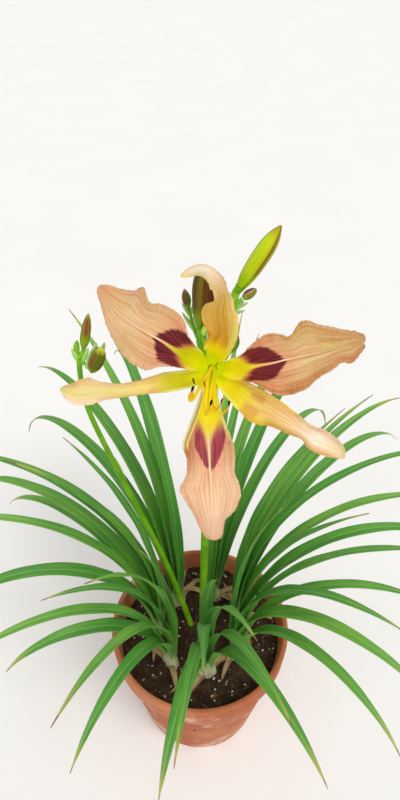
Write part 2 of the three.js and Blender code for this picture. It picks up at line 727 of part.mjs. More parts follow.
function pistil() {
  const ovary = [[-29.5, 1.4], [-27.5, 2.3], [-24, 2.3], [-21, 1.2], [-19.5, 0.7]];
  const style = [
    [0, 0, -43, 0.7],
    [0, 0, -26, 0.7],
    [0, 0, -10, 0.7],
    [0.2, -4.5, 15, 0.7],
    [0.5, -14, 38, 0.7],
    [2, -19, 58, 0.7],
    [4, -21.5, 70, 0.8],
  ];
  const low = ovary.map(([height, radius]) => [...tubePoint(0, 0, height), radius]);
  return joined([tube(low, 4, 8), tube(style, 12, 5)]);
}

// ---------------------------------------------------------------- assembly

const plant = new THREE.Group();
plant.name = "daylily_plant";

const holes = Array.from({ length: FANS }, (_, fan) => fanHole(fan));
holes.push(scapeHole(SCAPE_FOOT, SCAPE_RADIUS), scapeHole(SIDE_FOOT, SIDE_RADIUS));
plant.add(piece("pot", geometryOf(pot()), clay));
plant.add(piece("soil", geometryOf(soil(holes)), compost));
for (let fan = 0; fan < FANS; fan += 1) {
  plant.add(piece(`leaf_fan_${fan + 1}`, geometryOf(leafFan(fan)), leafGreen));
}
plant.add(piece("scape_main", geometryOf(mainScape()), stalkGreen));
plant.add(piece("scape_side", geometryOf(sideScape()), stalkGreen));
for (const [name, form] of Object.entries({ ...BUDS, ...SIDE_BUDS })) {
  plant.add(piece(name, geometryOf(solid(bud(form))), budSkin));
}

const bloom = new THREE.Group();
bloom.position.set(...BLOOM_CENTRE);
bloom.rotation.x = degToRad(90 - BLOOM_ELEVATION);
const perianth = joined([flowerTube(), ...Object.values(TEPALS).map(tepal)]);
bloom.add(piece("bloom_perianth", geometryOf(perianth), tepalSkin));
bloom.add(piece("bloom_stamens", geometryOf(stamens()), stamenYellow));
bloom.add(piece("bloom_pistil", geometryOf(pistil()), pistilYellow));
plant.add(bloom);

export default plant;
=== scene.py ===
"""A daylily plant in a plain clay pot: the finished form and skin of every piece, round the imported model.

The tables are in millimetres, with +Z up and the origin at the centre of the pot's foot. MM turns them
to metres.
"""

import math

import bmesh
import bpy
from mathutils import Matrix, Vector, noise


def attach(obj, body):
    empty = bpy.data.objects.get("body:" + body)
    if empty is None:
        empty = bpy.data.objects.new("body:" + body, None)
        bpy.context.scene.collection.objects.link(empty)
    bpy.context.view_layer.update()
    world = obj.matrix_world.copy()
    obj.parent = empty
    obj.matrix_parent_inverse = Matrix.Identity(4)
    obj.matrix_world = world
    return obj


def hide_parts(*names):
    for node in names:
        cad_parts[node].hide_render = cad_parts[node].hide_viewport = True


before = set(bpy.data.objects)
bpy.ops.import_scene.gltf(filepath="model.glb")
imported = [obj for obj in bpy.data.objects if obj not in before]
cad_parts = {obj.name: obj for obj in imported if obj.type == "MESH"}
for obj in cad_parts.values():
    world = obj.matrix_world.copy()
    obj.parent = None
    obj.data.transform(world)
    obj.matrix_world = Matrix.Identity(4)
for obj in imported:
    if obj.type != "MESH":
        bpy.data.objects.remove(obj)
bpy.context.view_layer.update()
scene = bpy.context.scene

MM = 0.001
BODY = "root"
DRAW_PACE = 12.9898
DRAW_SPREAD = 43758.5453

# ---------------------------------------------------------------- node trees


class Value:
    """What a socket gives. Arithmetic on values adds nodes to their tree."""

    def __init__(self, tree, socket):
        self.tree = tree
        self.socket = socket

    def at(self, output):
        """Another output of the same node."""
        return Value(self.tree, self.socket.node.outputs[output])

    def __add__(self, other):
        return self.tree.arithmetic("ADD", self, other)

    def __radd__(self, other):
        return self.tree.arithmetic("ADD", other, self)

    def __sub__(self, other):
        return self.tree.arithmetic("SUBTRACT", self, other)

    def __rsub__(self, other):
        return self.tree.arithmetic("SUBTRACT", other, self)

    def __mul__(self, other):
        return self.tree.arithmetic("MULTIPLY", self, other)

    def __rmul__(self, other):
        return self.tree.arithmetic("MULTIPLY", other, self)

    def __truediv__(self, other):
        return self.tree.arithmetic("DIVIDE", self, other)

    def __rtruediv__(self, other):
        return self.tree.arithmetic("DIVIDE", other, self)

    def __pow__(self, other):
        return self.tree.arithmetic("POWER", self, other)

    def __abs__(self):
        return self.tree.arithmetic("ABSOLUTE", self)


class Tree:
    """A shader or Geometry Nodes tree under construction."""

    def __init__(self, node_tree):
        self.node_tree = node_tree
        self.shades = node_tree.type == "SHADER"
        node_tree.nodes.clear()

    def node(self, kind, settings=None, sockets=None, output=0):
        """Adds a node: first its settings, then the values or links of its sockets, by name or number."""
        made = self.node_tree.nodes.new(kind)
        for name, setting in (settings or {}).items():
            if name == "stops":
                self.fill_ramp(made.color_ramp, setting)
            else:
                setattr(made, name, setting)
        for key, given in (sockets or {}).items():
            if isinstance(given, Value):
                self.node_tree.links.new(given.socket, made.inputs[key])
            else:
                made.inputs[key].default_value = given
        return Value(self, made.outputs[output]) if made.outputs else None

    @staticmethod
    def fill_ramp(ramp, stops):
        while len(ramp.elements) < len(stops):
            ramp.elements.new(1.0)
        for element, (position, shade) in zip(ramp.elements, stops):
            element.position = position
            element.color = (*shade, 1.0)

    def arithmetic(self, operation, *sides):
        """A Math node, or Vector Math where a side is a vector."""
        if any(isinstance(side, Value) and side.socket.type == "VECTOR" for side in sides):
            sides = [(side,) * 3 if isinstance(side, (int, float)) else side for side in sides]
            return self.node("ShaderNodeVectorMath", {"operation": operation}, dict(enumerate(sides)))
        return self.node("ShaderNodeMath", {"operation": operation}, dict(enumerate(sides)))

    def join(self, x, y, z):
        return self.node("ShaderNodeCombineXYZ", None, {"X": x, "Y": y, "Z": z})

    def split(self, vector):
        """The x of a vector. Its y and z are at("Y") and at("Z")."""
        return self.node("ShaderNodeSeparateXYZ", None, {0: vector})

    def rise(self, value, low, high, start=0.0, end=1.0):
        """A smooth step from start to end while the value goes from low to high."""
        span = {"From Min": low, "From Max": high, "To Min": start, "To Max": end}
        return self.node(
            "ShaderNodeMapRange", {"interpolation_type": "SMOOTHSTEP"}, {"Value": value, **span}
        )

    def mix(self, share, first, second, blend="MIX"):
        """A colour between two others."""
        settings = {"data_type": "RGBA", "blend_type": blend}
        pair = [(*side, 1.0) if isinstance(side, tuple) else side for side in (first, second)]
        return self.node("ShaderNodeMix", settings, {0: share, 6: pair[0], 7: pair[1]}, 2)

    def cloud(self, where, scale, detail=2.0, roughness=0.5):
        """Soft noise from 0 to 1."""
        return self.node(
            "ShaderNodeTexNoise",
            {"noise_dimensions": "3D"},
            {"Vector": where, "Scale": scale, "Detail": detail, "Roughness": roughness},
        )

    def attribute(self, name, vector=False):
        if self.shades:
            made = self.node("ShaderNodeAttribute", {"attribute_name": name})
            return made.at("Vector" if vector else "Fac")
        kind = "FLOAT_VECTOR" if vector else "FLOAT"
        return self.node("GeometryNodeInputNamedAttribute", {"data_type": kind}, {"Name": name})

    def handed(self, name, left):
        """An attribute that has a left and a right hand: the left one where left is 1, the right one
        where it is 0."""
        right_hand = self.attribute(name + "_right")
        return right_hand + (self.attribute(name + "_left") - right_hand) * left

    def place(self):
        """Where a point is on the piece, in metres."""
        if self.shades:
            return self.node("ShaderNodeTexCoord").at("Object")
        return self.node("GeometryNodeInputPosition")

    def keep(self, geometry, name, value, vector=False):
        """Stores a value on every point under a name."""
        kind = "FLOAT_VECTOR" if vector else "FLOAT"
        sockets = {"Geometry": geometry, "Name": name, "Value": value}
        return self.node("GeometryNodeStoreNamedAttribute", {"data_type": kind}, sockets)

    def close(self, geometry, material):
        """The end of a growing tree: plain geometry with its material."""
        smooth = self.node(
            "GeometryNodeSetShadeSmooth", None, {"Geometry": geometry, "Shade Smooth": True}
        )
        whole = self.node("GeometryNodeRealizeInstances", None, {"Geometry": smooth})
        dressed = self.node("GeometryNodeSetMaterial", None, {"Geometry": whole, "Material": material})
        self.node("NodeGroupOutput", None, {0: dressed})
        return self.node_tree


def growing_tree(name, inputs):
    """A Geometry Nodes tree with named inputs, and the value of its first input."""
    group = bpy.data.node_groups.new(name, "GeometryNodeTree")
    group.interface.new_socket("Geometry", in_out="INPUT", socket_type="NodeSocketGeometry")
    for label, kind in inputs.items():
        group.interface.new_socket(label, in_out="INPUT", socket_type="NodeSocket" + kind)
    group.interface.new_socket("Geometry", in_out="OUTPUT", socket_type="NodeSocketGeometry")
    tree = Tree(group)
    return tree, tree.node("NodeGroupInput")


def colour(text):
    """A screen colour such as d9b27a as the three numbers that shaders use."""
    shares = [int(text[i : i + 2], 16) / 255 for i in (0, 2, 4)]
    return tuple(s / 12.92 if s <= 0.04045 else ((s + 0.055) / 1.055) ** 2.4 for s in shares)


def material(name, build, relief=0.0, **constants):
    """A procedural material. build makes its colour, roughness and height in a tree, and for thin
    pieces a painted glow, an emission that stands in for the light that they let through. relief is
    the depth of the height in millimetres."""
    made = bpy.data.materials.new(name)
    made.use_nodes = True
    tree = Tree(made.node_tree)
    shade, roughness, height, *painted_glow = build(tree)
    sockets = {"Base Color": shade, "Roughness": roughness}
    if painted_glow:
        sockets |= {"Emission Color": painted_glow[0], "Emission Strength": 1.0}
    if relief:
        depth = {"Height": height, "Distance": relief * MM}
        sockets["Normal"] = tree.node("ShaderNodeBump", None, depth)
    sockets.update({key.replace("_", " "): value for key, value in constants.items()})
    surface = tree.node("ShaderNodeBsdfPrincipled", None, sockets)
    tree.node("ShaderNodeOutputMaterial", None, {"Surface": surface})
    return made


# ---------------------------------------------------------------- how the pieces are grown


def blade_tree():
    """Sweeps a blade along each strand. The strand is the blade's midrib, and its stations say which
    way is across and above, how wide and curled each half is, and how far the halves are folded up and
    ruffled."""
    tree, entry = growing_tree("blade", {"Columns": "Int", "Material": "Material"})
    columns = entry.at("Columns")
    step = tree.join(2.0 / (columns - 1.0), 0.0, 0.0)
    line = tree.node(
        "GeometryNodeMeshLine",
        None,
        {"Count": columns, "Start Location": (-1.0, 0.0, 0.0), "Offset": step},
    )
    across_line = tree.keep(line, "v", tree.split(tree.place()))
    profile = tree.node("GeometryNodeMeshToCurve", None, {"Mesh": across_line})
    midribs = tree.node("GeometryNodeMeshToCurve", None, {"Mesh": entry})
    swept = tree.node("GeometryNodeCurveToMesh", None, {"Curve": midribs, "Profile Curve": profile})

    v = tree.attribute("v")
    share = abs(v)
    hand = tree.arithmetic("SIGN", v)
    left = tree.arithmetic("GREATER_THAN", v, 0.0)

    # Each half is an arc, and both are folded up about the midrib by the crease.
    half = tree.handed("half", left)
    curl = tree.handed("curl", left)
    arc = curl * share
    wide = half * tree.arithmetic("SINE", arc) / curl
    high = half * (1.0 - tree.arithmetic("COSINE", arc)) / curl
    crease = tree.attribute("crease")
    lean = tree.arithmetic("SINE", crease)
    flat = tree.arithmetic("COSINE", crease)
    outward = (wide * flat - high * lean) * hand

    # The relief: waves and small crinkles at the edge, a groove at the midrib and pleats between.
    phase = tree.attribute("phase") + (1.0 - left) * 2.0
    ruffle = tree.attribute("ruffle") * share**3.0 * tree.arithmetic("SINE", phase)
    seat = tree.join(tree.attribute("way"), left * 9.0, tree.attribute("tone") * 40.0)
    crinkle = (tree.cloud(seat, 0.22, 2.0) - 0.5) * 2.6
    scallop = (tree.cloud(seat * (1.0, 1.0, 3.0), 0.42, 1.0) - 0.5) * 2.4
    crimp = tree.attribute("crimp") * share**4.0 * crinkle
    notch = tree.attribute("notch") * share**9.0 * scallop
    width = half * share / MM
    groove = tree.attribute("groove") * tree.arithmetic("EXPONENT", width * width * -0.6)
    drift = (tree.cloud(seat, 0.025, 1.0) - 0.5) * 5.0
    fold = tree.arithmetic("SINE", v * tree.attribute("folds") + drift) * tree.rise(share, 1.0, 0.75)
    pleat = tree.attribute("pleat") * fold * tree.rise(share, 0.05, 0.2)
    upward = wide * lean + high * flat + ruffle + crimp - groove + pleat

    place = (
        tree.attribute("spot", True)
        + tree.attribute("across", True) * (outward + notch * hand)
        + tree.attribute("above", True) * upward
    )
    measured = tree.keep(swept, "side", width)
    shaped = tree.node("GeometryNodeSetPosition", None, {"Geometry": measured, "Position": place})
    return tree.close(shaped, entry.at("Material"))


def stem_tree():
    """Sweeps a round or lobed stem along each strand, as thick as its stations say."""
    sizes = {"Sides": "Int", "Lobes": "Float", "Lobe depth": "Float", "Seam": "Float"}
    tree, entry = growing_tree("stem", sizes | {"Material": "Material"})
    ring = tree.node(
        "GeometryNodeCurvePrimitiveCircle", None, {"Resolution": entry.at("Sides"), "Radius": 1.0}
    )
    profile = tree.keep(ring, "round", tree.place(), True)
    lines = tree.node("GeometryNodeMeshToCurve", None, {"Mesh": entry})
    swept = tree.node(
        "GeometryNodeCurveToMesh",
        None,
        {"Curve": lines, "Profile Curve": profile, "Scale": tree.attribute("girth"), "Fill Caps": True},
    )
    around = tree.split(tree.attribute("round", True))
    angle = tree.arithmetic("ARCTAN2", around.at("Y"), around)
    lobe = tree.arithmetic("COSINE", angle * entry.at("Lobes") + tree.attribute("twist"))
    hollow = tree.arithmetic("MAXIMUM", lobe * -1.0, 0.0) ** 7.0
    plump = 1.0 + entry.at("Lobe depth") * lobe - entry.at("Seam") * hollow
    spot = tree.attribute("spot", True)
    place = spot + (tree.place() - spot) * plump
    marked = tree.keep(swept, "hollow", hollow)
    shaped = tree.node("GeometryNodeSetPosition", None, {"Geometry": marked, "Position": place})
    return tree.close(shaped, entry.at("Material"))


def scatter_tree():
    """Strews crumbs over the upper faces of a piece, and dents each of them."""
    sizes = {"Lowest": "Float", "Density": "Float", "Smallest": "Vector", "Largest": "Vector"}
    tree, entry = growing_tree("scatter", sizes | {"Seed": "Int", "Material": "Material"})
    seed = entry.at("Seed")
    upper = tree.arithmetic("GREATER_THAN", tree.split(tree.place()).at("Z"), entry.at("Lowest"))
    points = tree.node(
        "GeometryNodeDistributePointsOnFaces",
        None,
        {"Mesh": entry, "Selection": upper, "Density": entry.at("Density"), "Seed": seed},
    )

    def chance(low, high, key):
        span = {"Min": low, "Max": high, "Seed": key}
        return tree.node("FunctionNodeRandomValue", {"data_type": "FLOAT_VECTOR"}, span)

    strewn = tree.node(
        "GeometryNodeInstanceOnPoints",
        None,
        {
            "Points": points,
            "Instance": tree.node("GeometryNodeMeshIcoSphere", None, {"Radius": 1.0, "Subdivisions": 2}),
            "Rotation": chance((-0.4, -0.4, 0.0), (0.4, 0.4, 6.3), seed),
            "Scale": chance(entry.at("Smallest"), entry.at("Largest"), seed + 1.0),
        },
    )
    loose = tree.node("GeometryNodeRealizeInstances", None, {"Geometry": strewn})
    dents = (tree.cloud(tree.place(), 420.0, 1.0).at("Color") - 0.5) * 0.004
    shaped = tree.node("GeometryNodeSetPosition", None, {"Geometry": loose, "Offset": dents})
    return tree.close(shaped, entry.at("Material"))


def strands(name, runs):
    """A mesh of loose lines, one for each run of stations, whose values become attributes."""
    stations = [station for run in runs for station in run]
    edges = []
    start = 0
    for run in runs:
        edges += [(start + i, start + i + 1) for i in range(len(run) - 1)]
        start += len(run)
    mesh = bpy.data.meshes.new(name)
    mesh.from_pydata([station["spot"] for station in stations], edges, [])
    for key, sample in stations[0].items():
        if isinstance(sample, (int, float)):
            layer = mesh.attributes.new(key, "FLOAT", "POINT")
            layer.data.foreach_set("value", [station[key] for station in stations])
        else:
            layer = mesh.attributes.new(key, "FLOAT_VECTOR", "POINT")
            layer.data.foreach_set("vector", [part for station in stations for part in station[key]])
    return mesh


def grown(name, source, tree, inputs, wall=0.0):
    """The plain mesh that a growing tree makes of a source mesh. wall gives a thin sheet its thickness
    in millimetres."""
    holder = bpy.data.objects.new(name, source)
    scene.collection.objects.link(holder)
    growth = holder.modifiers.new("growth", "NODES")
    growth.node_group = tree
    for item in tree.interface.items_tree:
        if item.in_out == "INPUT" and item.name in inputs:
            growth[item.identifier] = inputs[item.name]
    if wall:
        thickness = holder.modifiers.new("wall", "SOLIDIFY")
        thickness.thickness = wall * MM
        thickness.offset = 0.0
    evaluated = holder.evaluated_get(bpy.context.evaluated_depsgraph_get())
    mesh = bpy.data.meshes.new_from_object(evaluated)
    bpy.data.objects.remove(holder)
    return turned_out(mesh)


def turned_out(mesh):
    """Points every face of a closed mesh outwards."""
    work = bmesh.new()
    work.from_mesh(mesh)
    bmesh.ops.recalc_face_normals(work, faces=work.faces)
    work.to_mesh(mesh)
    work.free()
    return mesh


def piece(name, mesh, slot, *nodes):
    """A finished piece of the plant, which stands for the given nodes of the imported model."""
    mesh.name = name
    made = bpy.data.objects.new(name, mesh)
    scene.collection.objects.link(made)
    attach(made, BODY)
    if nodes:
        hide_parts(*nodes)
    return made


def skin_of_rings(rings, finish):
    """A closed mesh through rings of equally many points. A ring that is one point repeated becomes a
    pole."""
    work = bmesh.new()
    rows = [[work.verts.new(point) for point in ring] for ring in rings]
    for lower, upper in zip(rows, rows[1:]):
        for i in range(len(lower)):
            j = (i + 1) % len(lower)
            work.faces.new((lower[i], lower[j], upper[j], upper[i]))
    bmesh.ops.remove_doubles(work, verts=work.verts, dist=1e-6)
    bmesh.ops.recalc_face_normals(work, faces=work.faces)
    mesh = bpy.data.meshes.new("skin")
    work.to_mesh(mesh)
    work.free()
    mesh.shade_smooth()
    mesh.materials.append(finish)
    return mesh


def round_spots(radius, sides):
    """Pairs of x and y round the upright axis."""
    turns = [2 * math.pi * i / sides for i in range(sides)]
    return [(radius * math.cos(turn), radius * math.sin(turn)) for turn in turns]


def ring_of(radius, height, sides):
    """Points round the upright axis, in metres, from a radius and a height in millimetres."""
    return [Vector((x, y, height)) * MM for x, y in round_spots(radius, sides)]


def turned(profile, sides, finish):
    """A body of revolution about +Z from pairs of radius and height in millimetres."""
    return skin_of_rings([ring_of(radius, height, sides) for radius, height in profile], finish)


def rounded(corners, radius, steps=4):
    """An outline with its inner corners rounded. Its two ends stay as they are."""
    outline = [corners[0]]
    for before, corner, after in zip(corners, corners[1:], corners[2:]):
        corner = Vector(corner)
        ahead = Vector(after) - corner
        behind = Vector(before) - corner
        reach = min(radius, 0.45 * ahead.length, 0.45 * behind.length)
        start = corner + behind.normalized() * reach
        end = corner + ahead.normalized() * reach
        for i in range(steps + 1):
            t = i / steps
            outline.append(tuple(start.lerp(corner, t).lerp(corner.lerp(end, t), t)))
    return [*outline, corners[-1]]


def along(rows, t):
    """A smooth curve through the rows of a table, at share t of the way from the first row to the
    last."""
    last = len(rows) - 1
    i = min(int(t * last), last - 1)
    f = t * last - i
    a, b, c, d = (rows[max(0, min(last, j))] for j in range(i - 1, i + 3))
    return [
        q + 0.5 * ((r - p) * f + (2 * p - 5 * q + 4 * r - s) * f**2 + (3 * q - p - 3 * r + s) * f**3)
        for p, q, r, s in zip(a, b, c, d)
    ]


def level_at(stops, t):
    """The value at t among (position, value) pairs."""
    low, first = stops[0]
    for high, second in stops[1:]:
        if t < high:
            return first + (second - first) * max(0.0, (t - low) / (high - low))
        low, first = high, second
    return first


def shade_at(stops, t):
    """The colour at t among (position, colour) pairs."""
    return level_at([(place, Vector(colour(shade))) for place, shade in stops], t)


def draw(key):
    """A number from 0 to 1 that is always the same for the same key."""
    wave = math.sin(key * DRAW_PACE) * DRAW_SPREAD
    return wave - math.floor(wave)


def clamped(value):
    """The value, kept from 0 to 1."""
    return max(0, min(1, value))


def facing(turn):
    """The level directions outwards and sideways at a turn in radians."""
    outward = Vector((math.cos(turn), math.sin(turn), 0))
    return outward, Vector((-outward.y, outward.x, 0))


def blade_station(spot, across, above, half, curl, u, tone, way, **relief):
    """A station of a blade's midrib. half and curl are pairs, left and right, and way is how far along
    it is. The relief is in millimetres, apart from the number of folds and the phase of the ruffle."""
    plain = {"ruffle": 0, "crimp": 0, "notch": 0, "groove": 0, "pleat": 0}
    depths = {key: relief.pop(key, depth) * MM for key, depth in plain.items()}
    return {
        "spot": spot * MM,
        "across": across,
        "above": above,
        "half_left": half[0] * MM,
        "half_right": half[1] * MM,
        "curl_left": math.radians(curl[0]) or 1e-3,
        "curl_right": math.radians(curl[1]) or 1e-3,
        "crease": 0.0,
        "folds": 18.0,
        "phase": 0.0,
        "u": u,
        "tone": tone,
        "way": way,
        **depths,
        **relief,
    }


BLADE = blade_tree()
STEM = stem_tree()
SCATTER = scatter_tree()

# ---------------------------------------------------------------- pot and soil

POT_HEIGHT = 210
POT_RIM_RADIUS = 125
POT_FOOT_RADIUS = 88
POT_WALL = 7
POT_FLOOR = 9
RIM_BAND = 34
RIM_STEP = 6
DRAINS = 3
DRAIN_RADIUS = 6
DRAIN_CIRCLE = 45
SOIL_EDGE = 180
SOIL_CROWN = 185
GAP = 0.4

WALL_TOP = POT_HEIGHT - RIM_BAND
BAND_FOOT = POT_RIM_RADIUS - RIM_STEP


def inner_radius(height):
    return POT_FOOT_RADIUS + (BAND_FOOT - POT_FOOT_RADIUS) * height / WALL_TOP - POT_WALL


def clay(tree):
    """Fired clay with dark grit, turning marks and a bloom of lime low down and under the rim."""
    place = tree.place()
    height = tree.split(place).at("Z")
    patches = tree.cloud(place, 9.0, 4.0, 0.6)
    grit = tree.cloud(place, 420.0, 3.0, 0.7)
    shade = tree.mix(tree.rise(patches, 0.35, 0.68), colour("b0623f"), colour("c9805a"))
    shade = tree.mix(tree.rise(grit, 0.56, 0.72, 0.0, 0.5), shade, colour("8e4a30"))
    lime = tree.cloud(place, 22.0, 5.0, 0.65)
    low = tree.rise(height, 0.075, 0.0)
    under_rim = tree.rise(height, 0.12, 0.172) * tree.rise(height, 0.178, 0.174)
    bloom = tree.rise(lime + low * 0.14 + under_rim * 0.1, 0.56, 0.74, 0.0, 0.62)
    shade = tree.mix(bloom, shade, colour("dcc7b4"))
    drag = tree.cloud(place * (6.0, 6.0, 900.0), 1.0, 2.0)
    height_map = grit * 0.35 + drag * 0.45 + bloom * 0.3
    return shade, 0.78 + bloom * 0.15 + grit * 0.06, height_map


def clay_pot():
    finish = material("fired_clay", clay, 0.5, Specular_IOR_Level=0.25)
    profile = rounded(
        [
            (0, 0),
            (POT_FOOT_RADIUS, 0),
            (BAND_FOOT - 1, WALL_TOP),
            (POT_RIM_RADIUS - 2, WALL_TOP + 2),
            (POT_RIM_RADIUS, POT_HEIGHT),
            (inner_radius(POT_HEIGHT), POT_HEIGHT),
            (inner_radius(POT_FLOOR), POT_FLOOR),
            (0, POT_FLOOR),
        ],
        3.2,
    )
    body = bpy.data.objects.new("pot_body", turned(profile, 128, finish))
    scene.collection.objects.link(body)
    drill = bpy.data.objects.new("drill", drain_plugs(finish))
    scene.collection.objects.link(drill)
    cut = body.modifiers.new("drains", "BOOLEAN")
    cut.object = drill
    cut.solver = "EXACT"
    mesh = bpy.data.meshes.new_from_object(body.evaluated_get(bpy.context.evaluated_depsgraph_get()))
    bpy.data.objects.remove(body)
    bpy.data.objects.remove(drill)
    piece("clay_pot", mesh, "pot_clay", "pot")


def drain_plugs(finish):
    """Rods where the drain holes go."""
    work = bmesh.new()
    for middle in ring_of(DRAIN_CIRCLE, POT_FLOOR / 2, DRAINS):
        bmesh.ops.create_cone(
            work,
            cap_ends=True,
            segments=32,
            radius1=DRAIN_RADIUS * MM,
            radius2=DRAIN_RADIUS * MM,
            depth=2.4 * POT_FLOOR * MM,
            matrix=Matrix.Translation(middle),
        )
    mesh = bpy.data.meshes.new("drill")
    work.to_mesh(mesh)
    work.free()
    mesh.materials.append(finish)
    return mesh


def compost(tree):
    place = tree.place()
    clods = tree.cloud(place, 60.0, 6.0, 0.7)
    fibres = tree.cloud(place * (1.0, 3.0, 1.0), 260.0, 4.0, 0.7)
    shade = tree.mix(tree.rise(clods, 0.35, 0.7), colour("2a1d15"), colour("4a3626"))
    shade = tree.mix(tree.rise(fibres, 0.6, 0.75, 0.0, 0.7), shade, colour("6f5238"))
    return shade, 0.9 + clods * 0.1, clods * 0.7 + fibres * 0.3


def crumb(tree):
    place = tree.place()
    kind = tree.cloud(place, 95.0, 1.0)
    grain = tree.cloud(place * (1.0, 4.0, 1.0), 500.0, 3.0, 0.7)
    shade = tree.mix(tree.rise(kind, 0.42, 0.6), colour("35241a"), colour("6b4a30"))
    shade = tree.mix(tree.rise(grain, 0.5, 0.7, 0.0, 0.6), shade, colour("8a6a4a"))
    return shade, 0.85 + grain * 0.1, grain


def grit(tree):
    grain = tree.cloud(tree.place(), 700.0, 3.0, 0.6)
    shade = tree.mix(tree.rise(grain, 0.35, 0.65), colour("b9b3a6"), colour("f0ece2"))
    return shade, 0.8 + grain * 0.1, grain


def soil_height(x, y):
    """Height of the soil's surface in millimetres: a low crown with clods on it."""
    share = min(1.0, math.hypot(x, y) / inner_radius(SOIL_EDGE))
    clods = noise.fractal(Vector((x, y, 7.0)) * 0.075, 1.0, 2.1, 4) * 1.5
    return SOIL_CROWN - 1.0 - (SOIL_CROWN - SOIL_EDGE - 1.0) * share**2 + clods * (1 - share**8)


# What lies strewn on the soil: its skin, how many to the square metre, the half sizes of the smallest
# and of the largest in millimetres, and its seed.
STREWN = {
    "soil_crumbs": (crumb, 24000, (0.7, 0.6, 0.5), (2.2, 1.8, 1.2), 3),
    "bark_chips": (crumb, 2600, (3.0, 1.4, 0.6), (8.5, 3.4, 1.5), 11),
    "soil_grit": (grit, 2400, (0.8, 0.8, 0.7), (2.0, 1.8, 1.5), 23),
}
SOIL_SECTORS = 144
SOIL_RINGS = 46


def potting_mix():
    low = POT_FLOOR + GAP
    edge = inner_radius(SOIL_EDGE) - GAP
    foot = [(0, low), (inner_radius(low) - GAP, low), (edge, SOIL_EDGE)]
    rings = [ring_of(radius, height, SOIL_SECTORS) for radius, height in foot]
    for i in range(1, SOIL_RINGS + 1):
        spots = round_spots(edge * (1 - i / SOIL_RINGS), SOIL_SECTORS)
        rings.append([Vector((x, y, soil_height(x, y))) * MM for x, y in spots])
    mesh = skin_of_rings(rings, material("compost", compost, 1.6, Specular_IOR_Level=0.2))
    piece("soil_bed", mesh, "potting_mix", "soil")
    for name, (finish, density, smallest, largest, seed) in STREWN.items():
        inputs = {
            "Lowest": (SOIL_EDGE - 2.5) * MM,
            "Density": float(density),
            "Smallest": Vector(smallest) * MM,
            "Largest": Vector(largest) * MM,
            "Seed": seed,
            "Material": material(name, finish, 0.4, Specular_IOR_Level=0.25),
        }
        piece(name, grown(name, mesh.copy(), SCATTER, inputs), "potting_mix")


# ---------------------------------------------------------------- leaves

FANS = 7
LEAVES_PER_FAN = 7
FAN_CIRCLE = 60
FIRST_FAN = 21.4
FAN_WIDTH = 26
FAN_DEPTH = 15
ROOT_DEPTH = 150
LEAF_STEPS = 40
LEAF_BEND = 1.7
LEAF_COLUMNS = 11
LEAF_WALL = 0.7


def fan_heading(fan):
    return FIRST_FAN + fan * 360 / FANS


def leaf_form(fan, leaf):
    """One leaf of a fan, from the upright young one in the middle to the old arching one outside."""
    age = leaf / (LEAVES_PER_FAN - 1)
    side = 1 if leaf % 2 else -1
    chance = [draw(fan * 31 + leaf * 7 + n * 101) - 0.5 for n in range(9)]
    back = math.sin(math.radians(fan_heading(fan)))
    return {
        "age": age,
        "heading": fan_heading(fan) + side * (4 + 17 * age) + 5 * chance[1],
        "foot": side * (1 + 6 * age),
        "depth": 9 * age - 4.5,
        "rise": 92 - 14 * age + 3 * chance[2],
        "droop": 45 - 110 * age**0.8 + 30 * chance[3] - 12 * back,
        "length": 375 + 60 * math.sin(math.pi * age) + 50 * chance[4] + 85 * back,
        "half_width": 10.5 + 2.5 * chance[5] - 2 * (1 - age),
        "sway": 9 * chance[6],
        "roll": 24 * chance[7],
        "tone": chance[8] + 0.5,
    }


def leaf_strand(fan, form):
    """The stations of a leaf's midrib. The strap is folded at its foot and nearly flat at its tip."""
    outward, sideways = facing(math.radians(fan_heading(fan)))
    foot = Vector((0, 0, SOIL_CROWN + 8))
    point = outward * (FAN_CIRCLE + form["depth"]) + sideways * form["foot"] + foot
    step = form["length"] / LEAF_STEPS

    def frame_at(t):
        """The directions ahead, aside and up at share t of the leaf's length."""
        slope = math.radians(form["rise"] + (form["droop"] - form["rise"]) * t**LEAF_BEND)
        level, side = facing(math.radians(form["heading"] + form["sway"] * t))
        up = Vector((-math.sin(slope) * level.x, -math.sin(slope) * level.y, math.cos(slope)))
        ahead = Vector((math.cos(slope) * level.x, math.cos(slope) * level.y, math.sin(slope)))
        return ahead, side, up

    stations = []
    for i in range(LEAF_STEPS + 1):
        u = i / LEAF_STEPS
        _, side, up = frame_at(u)
        roll = math.radians(form["roll"] * u)
        opening = min(1, 0.6 + 1.3 * u)
        half = max(0.25, form["half_width"] * opening * (1 - u**3))
        fade = min(1, 5 * u) * min(1, 6 * (1 - u))
        stations.append(
            blade_station(
                point,
                side * math.cos(roll) + up * math.sin(roll),
                up * math.cos(roll) - side * math.sin(roll),
                (half, half),
                (-16, -16),
                u,
                form["tone"],
                u * form["length"],
                crease=math.radians(18 + 46 * (1 - u) ** 3),
                ruffle=0.5 * fade,
                crimp=0.3 * fade,
                groove=0.5 * fade,
                phase=2 * math.pi * (5 * u + form["tone"]),
                age=form["age"],
            )
        )
        ahead, _, _ = frame_at(u + 0.5 / LEAF_STEPS)
        point = point + ahead * step
    return stations


